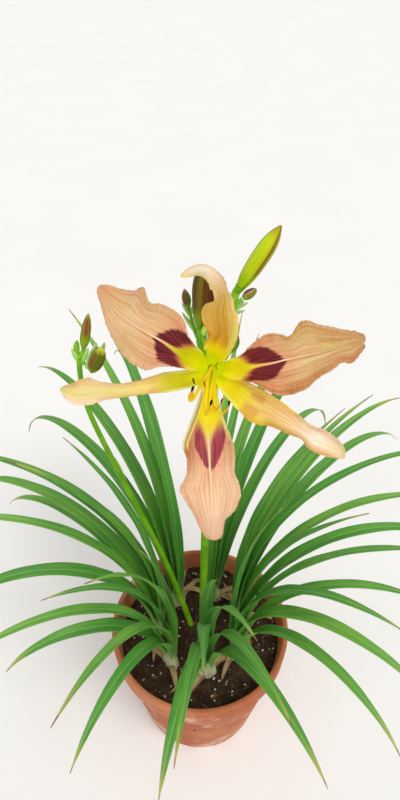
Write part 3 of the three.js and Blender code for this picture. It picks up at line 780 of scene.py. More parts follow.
def leaf_skin(tree):
    """Green with fine ribs and a pale keel, whitish at the foot and yellow to brown at the tip."""
    u, v, side = tree.attribute("u"), tree.attribute("v"), tree.attribute("side")
    tone, age = tree.attribute("tone"), tree.attribute("age")
    signed = side * tree.arithmetic("SIGN", v)
    streaks = tree.cloud(tree.join(signed * 1.4, u * 9.0, tone * 50.0), 1.0, 3.0, 0.6)
    blotch = tree.cloud(tree.join(signed * 0.09, u * 5.0, tone * 31.0), 1.0, 2.0)
    ribs = tree.arithmetic("SINE", signed * 5.2)
    keel = tree.rise(side, 1.5, 0.3)
    shade = tree.mix(tree.rise(tone, 0.0, 1.0), colour("4c9a2e"), colour("78b43c"))
    shade = tree.mix(tree.rise(blotch, 0.35, 0.7, 0.0, 0.75), shade, colour("3b8a30"))
    shade = tree.mix(tree.rise(streaks, 0.45, 0.75, 0.0, 0.45), shade, colour("9ac858"))
    shade = tree.mix((ribs * 0.5 + 0.5) * 0.16, shade, colour("2f7422"))
    shade = tree.mix(keel * 0.5, shade, colour("9cc66a"))
    shade = tree.mix(tree.rise(u, 0.16, 0.0, 0.0, 0.75), shade, colour("b9cf86"))
    ripe = u + age * 0.05 + (streaks - 0.5) * 0.12 + (tone - 0.5) * 0.06
    shade = tree.mix(tree.rise(ripe, 0.9, 1.02) * 0.8, shade, colour("c7b45a"))
    withered = u + (streaks - 0.5) * 0.03 + tone * 0.02
    shade = tree.mix(tree.rise(withered, 0.975, 0.99), shade, colour("8a6236"))
    height = ribs * 0.22 + streaks * 0.5 - keel * 0.7
    return shade, 0.36 + streaks * 0.2, height


def sheath_skin(tree):
    """The pale foot of a fan, with dry strips low on it."""
    around = tree.attribute("round", True)
    u, tone = tree.attribute("u"), tree.attribute("tone")
    fine = tree.cloud(around * 5.0 + tree.join(tone * 9.0, 0.0, u * 1.2), 1.0, 4.0, 0.6)
    shade = tree.mix(tree.rise(u, 0.45, 1.0), colour("dfe3bd"), colour("7fb04d"))
    shade = tree.mix(tree.rise(fine, 0.4, 0.7, 0.0, 0.5), shade, colour("b7c487"))
    dry = tree.rise(fine + tree.rise(u, 0.75, 0.4) * 0.12, 0.6, 0.72, 0.0, 0.7)
    shade = tree.mix(dry, shade, colour("a98659"))
    return shade, 0.45 + fine * 0.2, fine


def dry_skin(tree):
    u, side = tree.attribute("u"), tree.attribute("side")
    v, tone = tree.attribute("v"), tree.attribute("tone")
    signed = side * tree.arithmetic("SIGN", v)
    streaks = tree.cloud(tree.join(signed * 1.8, u * 3.0, tone * 40.0), 1.0, 4.0, 0.65)
    shade = tree.mix(tree.rise(streaks, 0.3, 0.7), colour("7c5a36"), colour("c9aa78"))
    shade = tree.mix(tree.rise(u + streaks * 0.3, 0.2, 0.6, 0.5, 0.0), shade, colour("dccb9d"))
    return shade, 0.75 + streaks * 0.2, streaks


# The foot of a fan: the height of each of its rows above the soil's crown, and its share of the full
# width.
SHEATH = [[ROOT_DEPTH - SOIL_CROWN, 1.0], [-5, 1.04], [8, 0.98], [22, 0.8], [34, 0.5]]
SHEATH_STEPS = 16


def fan_foot(fan):
    """Where a fan stands, in millimetres from the middle of the pot."""
    return facing(math.radians(fan_heading(fan)))[0] * FAN_CIRCLE


def sheath_strand(fan):
    """The round foot of a fan, which is pressed flat afterwards."""
    stations = []
    for i in range(SHEATH_STEPS + 1):
        u = i / SHEATH_STEPS
        height, share = along(SHEATH, u)
        spot = (fan_foot(fan) + Vector((0, 0, SOIL_CROWN + height))) * MM
        girth = FAN_WIDTH / 2 * share * MM
        stations.append({"spot": spot, "girth": girth, "u": u, "tone": draw(fan + 3), "twist": 0.6})
    return stations


def flattened(mesh, fan):
    """Presses a fan's foot flat across the way that the fan faces."""
    spin = Matrix.Rotation(math.radians(fan_heading(fan)), 4, "Z")
    press = spin @ Matrix.Diagonal((FAN_DEPTH / FAN_WIDTH, 1, 1, 1)) @ spin.inverted()
    middle = Matrix.Translation(fan_foot(fan) * MM)
    mesh.transform(middle @ press @ middle.inverted())
    return mesh


DRY_PER_FAN = 3
DRY_STEPS = 20
DRY_LIFT = 15


def dry_strand(fan, number):
    """A withered leaf base that has bent down from a fan's foot onto the soil."""
    key = fan * 17 + number * 5
    turn = math.radians(fan_heading(fan) + (draw(key) - 0.5) * 70 + (90 if number % 2 else -60))
    outward, across = facing(turn)
    start = fan_foot(fan) + outward * 9
    length = 34 + 30 * draw(key + 1)
    furthest = inner_radius(SOIL_EDGE) - 6
    stations = []
    for i in range(DRY_STEPS + 1):
        u = i / DRY_STEPS
        point = start + outward * length * u
        if math.hypot(point.x, point.y) > furthest:
            point *= furthest / math.hypot(point.x, point.y)
        lift = DRY_LIFT * math.sin(math.pi * min(1, u * 1.15)) * (1 - 0.4 * u)
        point.z = SOIL_EDGE + 5.5 + lift
        slope = math.atan2(DRY_LIFT * math.pi * math.cos(math.pi * u), length)
        above = Vector((-math.sin(slope) * outward.x, -math.sin(slope) * outward.y, math.cos(slope)))
        fade = min(1, 4 * u)
        half = 5.3 * (1 - u**2) + 0.3
        phase = 2 * math.pi * (2 * u + draw(key + 2))
        relief = {"ruffle": 1.2 * fade, "crimp": 1.2 * fade, "notch": 0.6, "pleat": 0.2, "phase": phase}
        spread = ((half, half), (70, 40), u, draw(key + 3), length * u)
        stations.append(blade_station(point, across, above, *spread, crease=math.radians(10), **relief))
    return stations


def leaves():
    green = material(
        "leaf_skin",
        leaf_skin,
        0.35,
        Subsurface_Weight=0.08,
        Subsurface_Radius=(0.002, 0.004, 0.001),
    )
    pale = material("sheath_skin", sheath_skin, 0.5)
    brown = material("withered_skin", dry_skin, 0.6)
    for fan in range(FANS):
        node = f"leaf_fan_{fan + 1}"
        forms = [leaf_form(fan, number) for number in range(LEAVES_PER_FAN)]
        source = strands(node, [leaf_strand(fan, form) for form in forms])
        inputs = {"Columns": LEAF_COLUMNS, "Material": green}
        piece(f"{node}_leaves", grown(node, source, BLADE, inputs, LEAF_WALL), "leaves", node)
        source = strands(node, [sheath_strand(fan)])
        inputs = {"Sides": 36, "Lobes": 6.0, "Lobe depth": 0.04, "Seam": 0.07, "Material": pale}
        piece(f"{node}_sheath", flattened(grown(node, source, STEM, inputs), fan), "leaves", node)
    scraps = [dry_strand(fan, number) for fan in range(FANS) for number in range(DRY_PER_FAN)]
    inputs = {"Columns": 9, "Material": brown}
    mesh = grown("withered", strands("withered", scraps), BLADE, inputs, 0.4)
    piece("withered_leaf_bases", mesh, "leaves")


# ---------------------------------------------------------------- scapes and buds

SCAPE_FOOT = [4, 6]
SCAPE_RADIUS = 5.2
FORK = [10, -44, 700]
SIDE_FOOT = [-15, 13]
SIDE_RADIUS = 4.2
SIDE_FORK = [-131.5, 78, 617]
BLOOM_CENTRE = Vector((9, -119, 753))
BLOOM_ELEVATION = math.radians(40)
THROAT_DEPTH = 20
TUBE_LENGTH = 43

# Each bud's foot, tip and radius. ends: the colour of its foot, the share of its length over which that
# fades, the share from which the colour of its tip comes in, and that colour. sides: five colours
# across it, from left to right as it is faced. rightward: the turn of its section, in degrees, that
# lies to the right. stripe and striped: the colour and the strength of its stripes. twist: the turn of
# its three seams.
BUDS = {
    "bud_large": {
        "foot": [2, -29.4, 728],
        "tip": [4.4, -33, 786],
        "radius": 9.7,
        "ends": ("7c9c08", 0.4, 0.9, "5a4a24"),
        "sides": ["767c2c", "5e4218", "786a1e", "6c3e04", "501c02"],
        "rightward": 120,
        "stripe": "4c4a06",
        "striped": 0.5,
        "twist": 0.4,
    },
    "bud_tall": {
        "foot": [34, -6.5, 753.2],
        "tip": [62.6, -9.6, 807.2],
        "radius": 8.2,
        "ends": ("b2d80c", 0.3, 0.8, "a88622"),
        "sides": ["c8e830", "cee214", "c4ca14", "a48c16", "b0c428"],
        "rightward": 98,
        "stripe": "8c8412",
        "striped": 0.25,
        "twist": 1.5,
    },
    "bud_small_left": {
        "foot": [-9.5, -14, 736.5],
        "tip": [-13, -12, 753.5],
        "radius": 3.8,
        "ends": ("7ea02c", 0.3, 0.8, "9a7858"),
        "sides": ["7c6c2c", "84522e", "70602a", "5c7c14", "6e9024"],
        "rightward": -45,
        "stripe": "5c3420",
        "striped": 0.5,
        "twist": 0.0,
    },
    "bud_small_right": {
        "foot": [35, -14, 745],
        "tip": [47, -10, 752],
        "radius": 4.0,
        "ends": ("96b43c", 0.3, 0.9, "7a4c40"),
        # The middle colour, c4a080, is a painted highlight down the face of the bud.
        "sides": ["6a4438", "70483a", "c4a080", "867a1c", "7c8c1c"],
        "rightward": 30,
        "stripe": "5a3a2a",
        "striped": 0.4,
        "twist": 0.8,
    },
    "bud_small_low": {
        "foot": [23.5, -50, 716],
        "tip": [30.5, -52, 733.5],
        "radius": 4.4,
        "ends": ("86b41c", 0.3, 0.75, "7c7430"),
        "sides": ["82b41c", "74a014", "6c960c", "648c10", "6c9a20"],
        "rightward": 120,
        "stripe": "5c5c14",
        "striped": 0.4,
        "twist": 0.5,
    },
    "bud_small_round": {
        "foot": [3.6, -38.6, 725.2],
        "tip": [6.4, -42.6, 738.6],
        "radius": 4.0,
        "ends": ("b0dc50", 0.3, 0.8, "b8e468"),
        "sides": ["a8d848", "bce864", "c2ec70", "b4e05c", "9ccc44"],
        "rightward": 142,
        "stripe": "9ccc48",
        "striped": 0.3,
        "twist": 0.2,
    },
    "side_bud_upright": {
        "foot": [-126, 84, 628],
        "tip": [-116.6, 87, 668.4],
        "radius": 5.4,
        "ends": ("8cac04", 0.5, 0.84, "a0bc3c"),
        "sides": ["8c9034", "9a7232", "78401a", "946430", "848a2a"],
        "rightward": 75,
        "stripe": "8a5a20",
        "striped": 0.3,
        "twist": 0.9,
    },
    "side_bud_broad": {
        "foot": [-115.6, 62, 613],
        "tip": [-101.4, 57, 645],
        "radius": 8.0,
        "ends": ("84980a", 0.3, 0.84, "d8de4c"),
        "sides": ["66861e", "864c26", "6c8c08", "5e6c0c", "644808"],
        "rightward": 105,
        "stripe": "7c4a1c",
        "striped": 0.35,
        "twist": 2.2,
    },
}
# Each bud's radius along its length, in shares of its full radius.
BUD_SHAPES = {
    "bud_large": [0.58, 0.8, 0.9, 0.96, 1.0, 0.97, 0.78, 0.12],
    "bud_tall": [0.55, 0.78, 0.88, 0.92, 0.92, 0.84, 0.6, 0.12],
    "side_bud_broad": [0.54, 0.8, 0.95, 1.0, 1.0, 0.94, 0.72, 0.2],
    "side_bud_upright": [0.6, 0.9, 1.0, 0.98, 0.92, 0.78, 0.52, 0.12],
    "bud_small_right": [0.42, 0.74, 0.94, 1.0, 0.96, 0.86, 0.68, 0.2],
    "bud_small_round": [0.42, 0.76, 0.95, 1.0, 0.96, 0.84, 0.58, 0.15],
}
BUD_SHAPE = [0.42, 0.72, 0.93, 1.0, 0.96, 0.8, 0.5, 0.12]

# Rows of x, y, z and radius: the two stalks, and then each bud's stem with the radius at its end.
SCAPE_ROWS = [[5, 5, 320, 4.9], [6.5, -3, 450, 4.5], [8, -18, 580, 4.1], [*FORK, 3.6]]
SIDE_ROWS = [
    [-50, 33, 320, 3.9],
    [-91, 56, 430, 3.5],
    [-126, 72, 535, 3.1],
    [-132.8, 77, 585, 2.9],
    [*SIDE_FORK, 3.1],
]
STEMS = [
    ("bud_large", [[*FORK, 3.2], [4.4, -39, 706, 3.3], [1, -32, 713, 4.0]], 4.6),
    ("bud_tall", [[*FORK, 3.2], [15.5, -34, 714, 3.2], [24.6, -17.6, 731.5, 3.4]], 3.6),
    ("bud_small_left", [[4, -38, 709, 2], [-4, -27, 721, 1.7], [-8, -17, 731, 1.5]], 1.5),
    ("bud_small_right", [[20, -26, 727, 2], [26, -21, 736, 1.7], [30, -17, 741, 1.5]], 1.5),
    ("bud_small_low", [[11, -42, 700, 2], [16, -44, 704, 1.8], [21, -48.5, 709.5, 1.7]], 1.7),
    ("bud_small_round", [[5, -40, 708, 2], [4, -39, 714, 1.7], [3.4, -38.6, 719.4, 1.5]], 1.7),
]
SIDE_STEMS = [
    ("side_bud_upright", [[*SIDE_FORK, 2.6], [-129, 81, 621, 2.3]], 2.3),
    ("side_bud_broad", [[-131, 78, 614, 2.3], [-124.5, 74, 612, 2.0], [-119.6, 69, 611.6, 1.6]], 1.3),
]
# A bud too small to have a stem of its own yet.
SIDE_BUDLET = [
    [-131.5, 79, 615, 1.8],
    [-133.6, 82, 621, 2.6],
    [-134, 83.5, 627, 3.5],
    [-133, 84, 632.5, 2.6],
    [-132.4, 84, 636.5, 0.7],
]

# Each bract's foot, tip and half width.
BRACTS = [
    ([9, -40, 694], [0, -24, 712], 3.4),
    ([12, -42, 699], [24, -30, 710], 3),
    ([-3, -27, 720], [-15, -20, 736], 2.4),
    ([23, -20, 734], [37, -24, 740], 2.4),
    ([6, 0, 470], [22, 8, 500], 4),
    ([-7.6, -18, 730], [-15.4, -15, 742], 1.7),
    ([-8, -17, 730], [-4.6, -13, 745], 1.4),
    ([29, -19, 738], [40, -19, 745], 1.8),
    ([30, -17, 739], [37, -11, 741], 1.6),
]
SIDE_BRACTS = [
    ([-132, 76, 614], [-138, 78, 630], 3.6),
    ([-128, 75.5, 615], [-119.5, 77, 632], 3.6),
    ([-94, 57, 445], [-106, 70, 474], 3.4),
    ([-123, 68, 611], [-113.5, 67, 637], 4.4),
    ([-113, 67, 630], [-108.5, 67, 646], 3.8),
    ([-105, 66, 632], [-99, 66, 647], 3.2),
]
BRACTS_FACE = Vector((0, -0.64, 0.77))
BRACT_STEPS = 18
BRACT_WALL = 0.5


def stem_strand(rows, steps, tone=0.5, twist=0.0, to_world=None, **looks):
    """Stations along rows of x, y, z and radius. looks are further values, by the share of the way."""
    stations = []
    for i in range(steps + 1):
        u = i / steps
        x, y, z, girth = along(rows, u)
        spot = Vector((x, y, z)) * MM
        if to_world:
            spot = to_world @ spot
        girth = max(girth, 0.05) * MM
        station = {"spot": spot, "girth": girth, "u": u, "tone": tone, "twist": twist}
        stations.append(station | {key: look(u) for key, look in looks.items()})
    return stations


def bud_strand(name):
    """The stations of a bud's axis, with the colours that lie across the bud at each of them."""
    bud = BUDS[name]
    start, end = Vector(bud["foot"]), Vector(bud["tip"])
    start += (end - start).normalized() * 2 * GAP
    shape = BUD_SHAPES.get(name, BUD_SHAPE)
    last = len(shape) - 1
    rows = [[*start.lerp(end, i / last), bud["radius"] * share] for i, share in enumerate(shape)]
    stripe = Vector(colour(bud["stripe"]))
    foot, foot_end, tip_start, top = bud["ends"]
    rightward, _ = facing(math.radians(bud["rightward"]))
    looks = {
        "rightward": lambda u: rightward,
        "stripe": lambda u: stripe,
        "striped": lambda u: bud["striped"] * min(1.0, 2.2 * u + 0.15),
    }
    for number, side in enumerate(bud["sides"]):
        stops = [(0.0, foot), (0.5 * foot_end, foot), (foot_end, side), (tip_start, side), (1.0, top)]
        looks[f"side_{number}"] = lambda u, stops=stops: shade_at(stops, u)
    return stem_strand(rows, 44, draw(bud["radius"]), bud["twist"], **looks)


def bud_skin(tree):
    around, u, tone = tree.attribute("round", True), tree.attribute("u"), tree.attribute("tone")
    hollow = tree.attribute("hollow")
    seat = tree.join(tone * 30.0, tone * 17.0, u * 0.9)
    broad = tree.cloud(around * 1.3 + seat, 1.0, 2.0)
    fine = tree.cloud(around * 6.0 + seat, 1.0, 3.0, 0.65)
    rightward = tree.arithmetic("DOT_PRODUCT", around, tree.attribute("rightward", True)).at("Value")
    across = rightward + (fine - 0.5) * 0.5 + (broad - 0.5) * 0.5
    shade = tree.attribute("side_0", True)
    for number in range(1, 5):
        border = -1.25 + 0.5 * number
        nearer = tree.rise(across, border - 0.16, border + 0.16)
        shade = tree.mix(nearer, shade, tree.attribute(f"side_{number}", True))
    stripes = tree.rise(fine, 0.5, 0.62) * tree.attribute("striped")
    shade = tree.mix(stripes, shade, tree.attribute("stripe", True))
    shade = tree.mix(hollow * 0.6, shade, colour("4a3410"))
    return shade, 0.5 + fine * 0.2, fine * 0.6 - hollow


def stalk_skin(tree):
    around, u, tone = tree.attribute("round", True), tree.attribute("u"), tree.attribute("tone")
    place = tree.place()
    seat = tree.join(tone * 30.0, 0.0, u * 3.0)
    fine = tree.cloud(around * 4.0 + seat, 1.0, 3.0, 0.6)
    patch = tree.cloud(place, 30.0, 2.0)
    shade = tree.mix(tree.rise(patch, 0.35, 0.7), colour("68aa0c"), colour("8ec41e"))
    shade = tree.mix(tree.rise(fine, 0.45, 0.7, 0.0, 0.6), shade, colour("4a8f1c"))
    return shade, 0.42 + fine * 0.15, fine


def bract_skin(tree):
    u, v, tone = tree.attribute("u"), tree.attribute("v"), tree.attribute("tone")
    streaks = tree.cloud(tree.join(v * 5.0, u * 1.5, tone * 20.0), 1.0, 3.0, 0.6)
    shade = tree.mix(tree.rise(streaks, 0.35, 0.7), colour("96ca58"), colour("c4e298"))
    edge = tree.rise(abs(v) * 0.5 + u * 0.7 + streaks * 0.2, 0.95, 1.15)
    shade = tree.mix(edge, shade, colour("c7b98a"))
    return shade, 0.5 + streaks * 0.2, streaks


def neck_rows():
    """The flower's stem bends forward from the fork and ends square to the flower's tube."""
    back = Vector((0, math.cos(BLOOM_ELEVATION), -math.sin(BLOOM_ELEVATION)))
    depth = THROAT_DEPTH + TUBE_LENGTH + GAP
    ends = [[*(BLOOM_CENTRE + back * (depth + 4)), 3.4], [*(BLOOM_CENTRE + back * depth), 3.8]]
    return [[10, -41, 688, 3.4], [10, -48, 699, 3.2], [9.5, -58, 704, 3.2], *ends]


def rows_to(name, rows, radius):
    """A stem to a bud: it ends square to the bud's axis, in a slightly swollen joint just short of
    it."""
    start, end = Vector(BUDS[name]["foot"]), Vector(BUDS[name]["tip"])
    ahead = (end - start).normalized()
    ends = [(-2.4, 1.0), (-1.0, 1.04), (-0.35, 1.2), (0.0, 1.15)]
    return [*rows, *([*(start + ahead * back * radius), radius * girth] for back, girth in ends)]


def scape_runs(foot, radius, rows, stems, extra):
    """The strands of a stalk that stands upright in the soil, and of what grows from it."""
    x, y = foot
    upright = [[x, y, ROOT_DEPTH, radius], [x, y, SOIL_CROWN + 6, radius]]
    runs = [stem_strand([*upright, *rows], 90, 0.3)]
    runs += [stem_strand(rows_to(*stem), 36, draw(i + 5)) for i, stem in enumerate(stems)]
    return runs + [stem_strand(table, 40, 0.7) for table in extra]


def bract_strand(foot, tip, half_width):
    """The stations of a bract, with its hollow side turned the way that the flower faces."""
    start, end = Vector(foot), Vector(tip)
    ahead = (end - start).normalized()
    across = ahead.cross(BRACTS_FACE).normalized()
    length = (end - start).length
    stations = []
    for i in range(BRACT_STEPS + 1):
        u = i / BRACT_STEPS
        half = max(0.15, half_width * (1 - u * u) * (0.6 + u))
        spread = ((half, half), (57, 57), u, draw(half_width + foot[0]), u * length)
        relief = {"ruffle": 0.25, "crimp": 0.4, "notch": 0.3, "groove": 0.2, "pleat": 0.06}
        point = start.lerp(end, u)
        stations.append(blade_station(point, across, ahead.cross(across), *spread, phase=9 * u, **relief))
    return stations


def scapes_and_buds():
    green = material(
        "stalk_skin",
        stalk_skin,
        0.3,
        Specular_IOR_Level=0.2,
        Subsurface_Weight=0.05,
        Subsurface_Radius=(0.002, 0.004, 0.001),
    )
    papery = material("bract_skin", bract_skin, 0.3, Specular_IOR_Level=0.2)
    budded = material(
        "bud_skin",
        bud_skin,
        0.3,
        Specular_IOR_Level=0.15,
        Subsurface_Weight=0.04,
        Subsurface_Radius=(0.004, 0.003, 0.001),
    )
    main_stalk = scape_runs(SCAPE_FOOT, SCAPE_RADIUS, SCAPE_ROWS, STEMS, [neck_rows()])
    side_stalk = scape_runs(SIDE_FOOT, SIDE_RADIUS, SIDE_ROWS, SIDE_STEMS, [SIDE_BUDLET])
    stalks = {"scape_main": (main_stalk, BRACTS), "scape_side": (side_stalk, SIDE_BRACTS)}
    for node, (runs, bracts) in stalks.items():
        inputs = {"Sides": 24, "Lobes": 8.0, "Lobe depth": 0.012, "Seam": 0.0, "Material": green}
        piece(f"{node}_stalks", grown(node, strands(node, runs), STEM, inputs), "scape", node)
        inputs = {"Columns": 11, "Material": papery}
        source = strands(node, [bract_strand(*bract) for bract in bracts])
        piece(f"{node}_bracts", grown(node, source, BLADE, inputs, BRACT_WALL), "scape", node)
    for node in BUDS:
        inputs = {"Sides": 48, "Lobes": 3.0, "Lobe depth": 0.035, "Seam": 0.06, "Material": budded}
        piece(f"{node}_skin", grown(node, strands(node, [bud_strand(node)]), STEM, inputs), "buds", node)


# ---------------------------------------------------------------- the flower
#
# In the flower's own frame x is to the right and y up as it is faced, and z comes out of its face. A
# tepal runs from the throat along its heading, in degrees anticlockwise from x. Each row is a station
# of its midrib: reach from the centre, sway to the left of the heading, lift out of the face, half
# width to the left and to the right, and the angle by which the left and the right edge curl up, or
# back where it is negative.

FACE_TILT = math.radians(90) - BLOOM_ELEVATION
FLOWER = Matrix.Translation(BLOOM_CENTRE * MM) @ Matrix.Rotation(FACE_TILT, 4, "X")
TUBE = FLOWER @ Matrix.Translation(Vector((0, 0, -THROAT_DEPTH)) * MM)
TEPAL_ROWS = 140
TEPAL_COLUMNS = 47
TEPAL_WALL = 0.6

TEPALS = {
    "petal_lower": {
        "heading": 270,
        "ruffle": 1.4,
        "waves": 3.2,
        "rows": [
            [8.6, 0, -17.5, 4.9, 4.9, 40, 40],
            [18, -1.5, -9, 5.3, 7.7, 45, 55],
            [34, -2.8, 1, 9.9, 12, 40, 45],
            [50, -3.2, 6, 16.4, 18.2, 20, 45],
            [54.5, -3, 6.9, 17.3, 18.7, 22, 42],
            [59, -2.7, 7.4, 17.4, 17.2, 24, 40],
            [66, -2.4, 8, 17.1, 16.1, 25, 35],
            [74, -1.9, 7.9, 16.7, 17.3, 5, 10],
            [82, -1.3, 7, 19.5, 21.8, -15, -15],
            [89, -0.9, 5.4, 20, 19.4, -13, -13],
            [98, -0.4, 3, 16, 15, -10, -10],
            [106, -0.1, 0, 8.8, 11.6, -5, -5],
            [113, 0, -4, 7.4, 8.6, 10, 10],
            [118, -0.7, -7, 6.6, 6, 5, 5],
            [121, -1.4, -9, 2.2, 2.6, 0, 0],
        ],
    },
    "petal_right": {
        "heading": 10,
        "ruffle": 1.3,
        "waves": 4.5,
        "rows": [
            [8.6, -1, -17.5, 4.9, 4.9, 40, 40],
            [13, -4, -5, 8.2, 7, 50, 50],
            [20.5, -4.7, 6, 9.5, 9, 40, 35],
            [28.5, -4.8, 12, 14.8, 13, 30, 25],
            [38, -5, 16, 19.6, 21.6, 20, 10],
            [46, -4.5, 18, 18.9, 23.2, 30, 0],
            [53, -4.1, 19.2, 15.4, 22.8, 35, 0],
            [60, -3.8, 19, 21.8, 20.4, 20, -5],
            [67, -3.6, 18, 22, 16.6, 10, -10],
            [75, -3, 16, 18.4, 13.8, 5, -10],
            [84, -2, 12, 14.2, 10.8, 0, -5],
            [93, -0.8, 7, 9.7, 13, 10, 0],
            [101, -0.2, 1, 8, 7.4, 20, 10],
            [105.5, 1, -3, 4.5, 4, 20, 20],
            [108.5, 0, -7, 1, 1, 0, 0],
        ],
    },
    "petal_left": {
        "heading": 144,
        "ruffle": 1.2,
        "waves": 4.5,
        "rows": [
            [8.6, 1, -17.5, 4.9, 4.9, 40, 40],
            [13, 2.8, -6, 8.2, 8, 50, 55],
            [21, 5, 7, 10.1, 10.1, 35, 50],
            [28.5, 6.4, 13, 12.8, 15.5, 20, 40],
            [36, 6.8, 16, 21.7, 21.2, 10, 30],
            [47, 8, 19, 22.8, 21.4, 0, 25],
            [56, 8.7, 17, 20.8, 18.6, -5, 35],
            [67, 8.8, 13, 15.6, 23.6, -10, 15],
            [76, 7.8, 8, 10.1, 20.2, -10, 5],
            [86, 5, 1, 6.2, 12.4, -10, 0],
            [95, 1.6, -6, 4, 6.1, 0, 0],
            [99, 0, -10, 1, 1, 0, 0],
        ],
    },
    "sepal_top": {
        "heading": 90,
        "ruffle": 0.9,
        "waves": 5,
        "rows": [
            [8.6, -0.5, -17.5, 4.9, 4.9, 40, 40],
            [12, -3, -2, 9.8, 8.9, 45, 45],
            [22, -6.4, 12, 10.2, 10, 30, 30],
            [35.5, -4.9, 16, 13.2, 11, -15, -15],
            [44, -6.3, 14, 7.5, 7.2, -40, -20],
            [50.5, -5, 10, 6, 5.5, -60, -40],
            [58, -2.4, 5, 6.5, 6.5, -60, -50],
            [64, 1.2, 0, 6, 6, -60, -60],
            [68, 5.5, -5, 5.5, 5.5, -60, -60],
            [69.5, 11.5, -10, 4.6, 4.6, -60, -60],
            [68, 17.5, -13, 3.4, 3.4, -50, -50],
            [65.5, 22.5, -14, 1, 1, 0, 0],
        ],
    },
    "sepal_left": {
        "heading": 188.5,
        "ruffle": 0.9,
        "waves": 6,
        "rows": [
            [8.6, 2, -17.5, 4.9, 4.9, 40, 40],
            [11, 4.6, -11, 6, 6, 40, 40],
            [24, 5.6, 0, 6.8, 6.9, 30, 40],
            [39, 6.4, 6, 6.2, 7.4, -45, -45],
            [53, 7, 8, 5.7, 6.6, -70, -70],
            [66, 6.9, 6, 5.8, 6.4, -70, -70],
            [79, 5, 2, 6.9, 6.9, -40, -40],
            [88, 4.2, -2, 9, 10, 10, 0],
            [97, 3.4, -5.5, 8.5, 8, 30, 20],
            [104, 1, -8, 5, 5, 30, 30],
            [108.8, -1, -10, 1, 1, 0, 0],
        ],
    },
    "sepal_right": {
        "heading": 325.5,
        "ruffle": 0.9,
        "waves": 6,
        "rows": [
            [8.6, -1.5, -17.5, 4.9, 4.9, 40, 40],
            [13, -3, -9, 6.8, 6.4, 35, 35],
            [24, -4.2, 2, 9.2, 9, 30, 15],
            [33, -4.6, 5, 10.9, 10.6, 45, 0],
            [42.5, -4.4, 7, 12.5, 12, 60, -10],
            [51.5, -2.8, 8, 11, 10, 60, -30],
            [60, -2.2, 8, 9, 8.5, 50, -35],
            [69, -1.6, 6, 7.5, 7.5, 30, -35],
            [78, -1.4, 4, 6.5, 5.7, 0, -30],
            [88, -0.8, 0, 9, 8.5, 10, 20],
            [98, 0.7, -4, 8, 7.5, 30, 30],
            [107, 1.2, -8, 5, 5, 30, 30],
            [112.8, 0, -11, 1, 1, 0, 0],
        ],
    },
}

